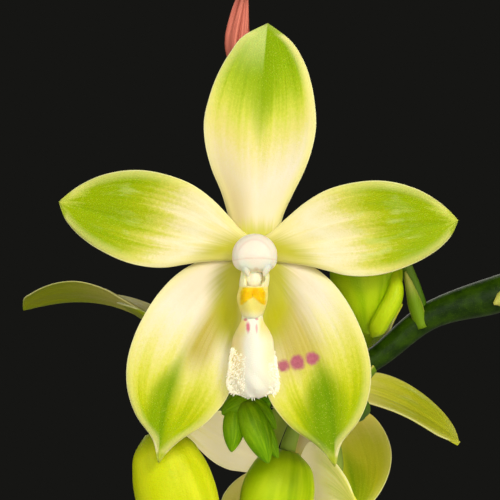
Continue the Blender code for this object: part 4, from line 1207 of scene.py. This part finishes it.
def add_bract(shells, foot, tip, out, width):
    """A small pointed scale leaf, hollow towards the stem. Its kind in the note is 2."""
    foot, tip, out = (np.array(p) for p in (foot, tip, out))
    ahead = (tip - foot) / np.linalg.norm(tip - foot)
    across = np.cross(ahead, out)
    across /= np.linalg.norm(across)
    u, v = np.meshgrid(np.linspace(0, 1, BRACT_ROWS), np.linspace(-1, 1, BRACT_COLUMNS), indexing="ij")
    half = width / 2 * np.maximum(eased(BRACT_SHAPE, u), 0.04)
    hollow = 0.55 * half * np.abs(v) ** 1.6 - 0.25 * np.sin(math.pi * u)
    middle = (foot + (tip - foot) * u[..., None] + across * (v * half)[..., None]
              - out * hollow[..., None])
    thick = 0.10 + 0.2 * (1 - v * v)
    points = sheet_points(middle, grid_normals(middle), thick, thick)
    paler = np.maximum(u, np.abs(v) ** 3 * 0.9).ravel()
    note = np.stack([np.full(u.size, 2.0), paler, np.zeros(u.size)], axis=1)
    shells.shell(points, sheet_faces(BRACT_ROWS, BRACT_COLUMNS),
                 stem_place=np.concatenate([note, note]))


def add_node_bract(shells, node, away, lean=math.radians(14.0)):
    """A scale leaf at a share of the stem, on the side that the way `away` names."""
    root, away = along_stem(node), Vector(away)
    along = (along_stem(min(node + 0.03, 1.0)) - along_stem(node - 0.03)).normalized()
    out = (away - along * away.dot(along)).normalized()
    foot = root - along * 1.2 + out * 1.5
    tip = foot + (along * math.cos(lean) + out * math.sin(lean)) * 6.6
    add_bract(shells, foot, tip, out, 4.4)


print("the stem's middle:", [round(c) for c in along_stem(0.5)])

# %% Stem, stalks and scale leaves in one piece
stem_shells = Pieces("stem_place")
thick = eased(STEM_RADII, np.linspace(0, 1, len(stem_line)))
add_bar(stem_shells, stem_line, thick, STEM_SIDES, 0)
for name, bloom in BLOOMS.items():
    back = Vector(bloom["centre"]) - Vector(bloom["facing"]).normalized() * HUB_BACK
    add_stalk(stem_shells, bloom, back, bloom["facing"], bloom.get("lead", STALK_LEAD), STALK_RADII)
    add_node_bract(stem_shells, bloom["node"], (0, 0, -1))
for bud in BUDS.values():
    base, tip = Vector(bud["base"]), Vector(bud["tip"])
    add_stalk(stem_shells, bud, base, tip - base, BUD_LEAD, BUD_STALK_RADII)
add_bract(stem_shells, world((24.1, -10.2, 11.2)), world((21.6, -2.0, 10.6)), (0.0, -1.0, 0.0), 2.0)
for node, away in BARE_BRACTS:
    add_node_bract(stem_shells, node, away)
add_stalk(stem_shells, SPENT, Vector(SPENT_PATH[0]), (0, 1, 0), BUD_LEAD, BUD_STALK_RADII)
stem_piece = stem_shells.piece("green_stem", [STEM_SKIN])
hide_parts("flower_stem")
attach(stem_piece, "root")
print("stem faces:", len(stem_piece.data.polygons))

# %% [markdown]
# ## Buds
# A bud is three sepals closed over the rest, so its section is a soft triangle with a seam between
# each pair. The big ones are yellow-green with faint stripes, and those in the cluster at the tip
# are small and dark. Rings with three lobes and three grooves give the form. The bud on the right
# also shows the keel of one sepal, a second, slimmer body set into it.

# %% The finish of buds
BUD_SKIN, s, shader = new_material("bud_skin", 0.4, Subsurface_Weight=0.08, Subsurface_Scale=0.001,
                                   Specular_IOR_Level=0.1)
tone, share, around = s.parts(s.note("bud_place"))
cells = s.use(cells_group, Scale=3600.0)
stripes = s.use(veins_group, Place=s.vector(around, share, tone), Count=9.0, Length=1.6,
                Low=0.3, High=0.7)["Streak"]
young = s.mix(stripes, screen(74, 138, 0), screen(122, 178, 8))
ripe = s.mix(stripes, screen(156, 198, 0), screen(190, 218, 18))
open_soon = s.mix(stripes, screen(206, 216, 0), screen(226, 230, 30))
colour = s.mix(s.between(tone, 0.0, 1.0), young, ripe)
colour = s.mix(s.between(tone, 1.0, 2.0), colour, open_soon)
colour = s.mix(s.between(share, 0.0, 0.14, 0.55, 0.0), colour, screen(116, 140, 30))
colour = s.mix(s.times(cells["Grain"], 0.10), colour, screen(214, 232, 80))
s.give(shader.inputs["Base Color"], colour)
s.bump(shader, s.plus(cells["Height"], stripes), 0.25, 0.0001)
print("bud finish:", BUD_SKIN.name)

# %% Rings of a bud
BUD_SHAPE = ((0.0, 0.3), (0.08, 0.66), (0.22, 0.9), (0.4, 1.0), (0.62, 0.9), (0.82, 0.6),
             (0.94, 0.3), (1.0, 0.12))
BUD_ROWS, BUD_SIDES = 40, 60


def bud_rings(base, tip, width, rows=BUD_ROWS, sides=BUD_SIDES, ridge=0.05, seam=0.035):
    """Rings of a three-sided bud, with the angles of their points and their shares of the length.

    ridge and seam are the height of its lobes and the depth of its grooves, as shares of its radius."""
    axis = (tip - base).normalized()
    side = axis.orthogonal().normalized()
    other = axis.cross(side)
    a = circle(sides)
    share = np.linspace(0, 1, rows)
    radius = width / 2 * eased(BUD_SHAPE, share)[:, None]
    radius = radius * np.where(share[:, None] > 0.985, 0.6, 1.0)
    nearest = (a + math.pi / 3) % (math.tau / 3) - math.pi / 3
    groove = np.exp(-((np.abs(nearest) - math.pi / 3) / 0.09) ** 2)
    swell = radius * (1 + ridge * np.cos(3 * a) - seam * groove)
    around = np.cos(a)[None, :, None] * np.array(side) + np.sin(a)[None, :, None] * np.array(other)
    rings = (np.array(base)[None, None, :] + np.array(tip - base)[None, None, :] * share[:, None, None]
             + swell[..., None] * around)
    return rings, a, share


def add_bud(shells, rings, a, share, tone):
    """Adds a body through rings, with its tone, the share of its length and the way around it."""
    around = np.broadcast_to(np.cos(a) * 0.5, rings.shape[:2]).ravel()
    along = np.repeat(share, len(a))
    place = np.stack([np.full(len(around), float(tone)), along, around], axis=1)
    shells.shell(rings, ring_faces(*rings.shape[:2]), bud_place=place)


print("points of a large bud:", BUD_ROWS * BUD_SIDES)

# %% The large buds
KEEL_PATH = ((19.8, -1.3, 4.8), (19.7, -5.3, 3.2), (18.0, -8.7, 3.4), (16.6, -11.2, 5.0))
KEEL_RADII = ((0.0, 0.5), (0.3, 1.2), (0.7, 1.35), (0.92, 1.0), (1.0, 0.3))
KEEL_SIDES = 24

for name, bud in BUDS.items():
    shells = Pieces("bud_place")
    rings, a, share = bud_rings(world(bud["base"]), world(bud["tip"]), bud["width"])
    add_bud(shells, rings, a, share, bud["tone"])
    if name == "bud_right":
        keel = smooth_path([world(p) for p in KEEL_PATH], 0.4)
        rings = tube_rings(keel, eased(KEEL_RADII, np.linspace(0, 1, len(keel))), KEEL_SIDES)
        add_bud(shells, rings, circle(KEEL_SIDES), np.linspace(0.3, 0.9, len(keel)), 1.3)
    piece = shells.piece(name + "_skin", [BUD_SKIN])
    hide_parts(name)
    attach(piece, "root")
    print(name, len(piece.data.polygons), "faces")

# %% The cluster of small buds at the tip
# Base, tip and width of each, about a short core that carries the stem on
TIP_BUDS = (((-2.9, -21.2, 7.2), (-3.5, -27.8, 5.8), 3.3), ((-1.6, -20.6, 6.0), (1.8, -29.4, 5.4), 4.2),
            ((-0.4, -20.4, 7.6), (2.9, -24.6, 7.2), 2.4), ((-1.6, -20.8, 8.0), (-0.6, -26.0, 9.4), 3.0),
            ((-0.8, -21.4, 6.4), (3.2, -28.7, 6.0), 2.8), ((-0.6, -20.2, 7.6), (-4.9, -22.4, 6.8), 3.6))
CORE_ROWS, CORE_SIDES = 8, 20
tip_shells = Pieces("bud_place")
for base, tip, width in TIP_BUDS:
    rings, a, share = bud_rings(world(base), world(tip), width, rows=24, sides=30,
                                ridge=0.03, seam=0.05)
    add_bud(tip_shells, rings, a, share, 0.35)
stem_end = Vector(stem_line[-1])
stem_way = (stem_end - Vector(stem_line[-5])).normalized()
core = np.array([stem_end + stem_way * d for d in np.linspace(-0.2, 3.6, CORE_ROWS)])
rings = tube_rings(core, np.linspace(1.3, 0.9, CORE_ROWS), CORE_SIDES)
add_bud(tip_shells, rings, circle(CORE_SIDES), np.linspace(0.3, 0.6, CORE_ROWS), 0.1)
piece = tip_shells.piece("tip_bud_cluster", [BUD_SKIN])
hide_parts("tip_buds")
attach(piece, "root")
print("tip cluster:", len(piece.data.polygons), "faces")

# %% [markdown]
# ## The withered bloom
# One older bloom has closed and dried to a rust-red twisted spindle on its stalk. Its folded tepals
# are flutes that turn as they rise, so the rings get a wavy section that is turned a little more at
# each level.

# %% The withered bloom's finish
WITHERED, s, shader = new_material("withered_tepals", 0.6)
_, share, around = s.parts(s.note("bud_place"))
folds = s.use(veins_group, Place=s.vector(around, share, 3.0), Count=14.0, Length=1.2,
              Low=0.3, High=0.7)["Streak"]
colour = s.mix(folds, screen(172, 72, 54), screen(238, 134, 108))
colour = s.mix(s.between(share, 0.7, 1.0), colour, screen(120, 62, 40))
s.give(shader.inputs["Base Color"], colour)
s.bump(shader, folds, 0.5, 0.0002)
print("withered finish:", WITHERED.name)

# %% The withered bloom's shape
SPENT_RADII = ((0.0, 0.7), (0.2, 1.35), (0.45, 1.65), (0.7, 1.2), (0.9, 0.6), (1.0, 0.3))
SPENT_SIDES = 50
SPENT_TURN = math.radians(70.0)

line = smooth_path([world(p) for p in SPENT_PATH], 0.4)
a = circle(SPENT_SIDES)
share = np.linspace(0, 1, len(line))
radius = eased(SPENT_RADII, share)[:, None]
turned = a + SPENT_TURN * share[:, None]
flute = radius * (1 + 0.16 * np.cos(5 * a)[None, :] + 0.05 * np.cos(9 * a + 1)[None, :])
rings = line[:, None, :] + np.stack([flute * np.cos(turned), flute * np.sin(turned), 0 * flute], axis=2)
shells = Pieces("bud_place")
add_bud(shells, rings, a, share, 0.0)
piece = shells.piece("withered_bloom", [WITHERED])
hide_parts("spent_bloom")
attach(piece, "root")
print("withered bloom:", len(piece.data.polygons), "faces")

# %% [markdown]
# ## Vase
# The vase is a plain bottle for one stem, thrown on a wheel and dipped in an off-white satin glaze
# that stops short of the bare clay foot. Turning a profile about the axis gives the form. Slight
# rings from the potter's fingers and fine iron specks in the glaze keep it from looking cast.

# %% The vase's glaze
GLAZE, s, shader = new_material("off_white_glaze", 0.26, Coat_Weight=0.35, Coat_Roughness=0.12)
z = s.parts(s.place())[2]
mottled = s.noise(s.place(), 60.0, 4.0)
colour = s.mix(s.between(mottled, 0.3, 0.7), screen(226, 221, 210), screen(236, 232, 224))
colour = s.mix(s.between(z, 0.112, 0.1185, 0.0, 0.35), colour, screen(202, 188, 164))
speck = s.between(s.noise(s.place(), 1500.0, 1.0), 0.73, 0.78)
colour = s.mix(s.times(speck, 0.55), colour, screen(120, 92, 64))
bare = s.between(s.plus(z, s.times(s.minus(mottled, 0.5), 0.0016)), 0.0028, 0.0034, 1.0, 0.0)
clay = s.mix(s.noise(s.place(), 900.0, 3.0), screen(176, 150, 120), screen(202, 180, 150))
s.give(shader.inputs["Base Color"], s.mix(bare, colour, clay))
s.give(shader.inputs["Roughness"], s.between(bare, 0.0, 1.0, 0.26, 0.85))
s.give(shader.inputs["Coat Weight"], s.between(bare, 0.0, 1.0, 0.35, 0.0))
finger_rings = s.math("SINE", s.times(z, 1150.0))
s.bump(shader, s.plus(s.times(finger_rings, 0.5), mottled), 0.10, 0.0004)
print("vase finish:", GLAZE.name)

# %% The vase's shape
# Its outside from foot to lip, as (radius, height) in millimetres
VASE_HEIGHT, VASE_FLOOR, WALL = 119.0, 4.6, 3.4
VASE_OUTSIDE = ((20.0, 0.0), (21.6, 1.4), (27.2, 9.0), (31.6, 21.0), (33.0, 34.0), (31.0, 48.0),
                (25.4, 62.0), (18.4, 75.0), (13.4, 86.0), (10.9, 96.0), (10.2, 105.0),
                (10.9, 112.0), (12.9, 116.4), (13.5, 117.7))
VASE_SIDES = 128

outside = smooth_path([(r, h, 0.0) for r, h in VASE_OUTSIDE], 1.6)[:, :2]
rim = [(radius, VASE_HEIGHT - down) for radius, down in
       ((13.4, 0.7), (12.9, 0.2), (12.2, 0.0), (11.4, 0.1), (10.7, 0.5))]
inside = [(r - WALL, h, 0.0) for r, h in reversed(VASE_OUTSIDE) if VASE_FLOOR + 3 < h < VASE_HEIGHT - 5]
inside += [(19.5, VASE_FLOOR + 0.9, 0.0), (16.0, VASE_FLOOR, 0.0)]
inside = smooth_path(inside, 2.0)[:, :2]
profile = [(0.05, 0.0), (17.0, 0.0), *outside, *rim, *inside, (0.05, VASE_FLOOR)]
shells = Pieces()
shells.shell(lathe_rings(profile, VASE_SIDES), ring_faces(len(profile), VASE_SIDES))
piece = shells.piece("bottle_vase", [GLAZE])
piece.data.set_sharp_from_angle(angle=math.radians(50))
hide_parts("vase")
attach(piece, "root")
print("vase:", len(piece.data.polygons), "faces")

# %% [markdown]
# ## Water
# Only someone who looks down the neck sees the water. The solid has the right form already, so it
# stays and gets a clear material with the faintest green.

# %% The water's finish
WATER, s, shader = new_material("still_water", 0.03, Transmission_Weight=0.9, IOR=1.33)
tint = s.mix(s.noise(s.place(), 40.0), screen(226, 236, 226), screen(214, 230, 218))
s.give(shader.inputs["Base Color"], tint)
for slot in frame["nodes"]["water"].material_slots:
    slot.material = WATER
print("water finish:", WATER.name)

# %% [markdown]
# ## Stage and light
# The picture's light is soft and comes from the upper right in front of the bloom, with a weaker
# light from the upper left that puts a sheen on the petals. One lamp gives each. A broad one stands
# in front, one behind lets the thin edges glow, and two at the sides fill the shadows a little. A
# dark surround makes the pale flower stand out.

# %% Floor
FLOOR_HALF, FLOOR_LOW = 1.4, -0.0003
FLOOR_CORNERS = ((-1, -1), (1, -1), (1, 1), (-1, 1))

floor_mesh = bpy.data.meshes.new("floor")
floor_mesh.from_pydata([(FLOOR_HALF * right, FLOOR_HALF * behind, FLOOR_LOW)
                        for right, behind in FLOOR_CORNERS], [], [(0, 1, 2, 3)])
floor = bpy.data.objects.new("floor", floor_mesh)
bpy.context.scene.collection.objects.link(floor)
FLOOR, s, shader = new_material("pale_floor", 0.7)
tint = s.mix(s.noise(s.place(), 14.0), screen(196, 194, 188), screen(204, 202, 197))
s.give(shader.inputs["Base Color"], tint)
floor_mesh.materials.append(FLOOR)
print("floor finish:", FLOOR.name)

# %% Lamps and surround
def lamp(name, place, size, power, colour):
    """A square lamp that looks at the front bloom and isn't seen by the camera."""
    light = bpy.data.lights.new(name, "AREA")
    light.shape = "SQUARE"
    light.size = size
    light.energy = power
    light.color = colour
    obj = bpy.data.objects.new(name, light)
    obj.location = place
    obj.rotation_euler = (FRONT * MM - Vector(place)).to_track_quat("-Z", "Y").to_euler()
    obj.visible_camera = False
    bpy.context.scene.collection.objects.link(obj)


lamp("key_lamp", (0.30, -0.78, 0.70), 0.30, 5.0, (1.0, 0.97, 0.92))
lamp("front_lamp", (-0.10, -1.15, 0.36), 0.80, 4.6, (1.0, 0.98, 0.94))
lamp("sheen_lamp", (-0.60, -0.52, 0.70), 0.30, 1.4, (0.96, 0.98, 1.0))
lamp("edge_lamp", (-0.25, 0.75, 0.62), 0.5, 1.4, (1.0, 0.97, 0.90))
lamp("right_fill", (0.75, -0.35, 0.25), 0.7, 2.6, (1.0, 0.99, 0.93))
lamp("left_fill", (-0.95, -0.35, 0.20), 0.7, 1.5, (1.0, 0.99, 0.93))

surround = bpy.data.worlds.new("surround")
surround.use_nodes = True
ambient = surround.node_tree.nodes["Background"]
ambient.inputs["Color"].default_value = (0.008, 0.008, 0.007, 1.0)
ambient.inputs["Strength"].default_value = 1.0
bpy.context.scene.world = surround
bpy.context.scene.view_settings.view_transform = "Standard"
print("lamps:", len(bpy.data.lights))
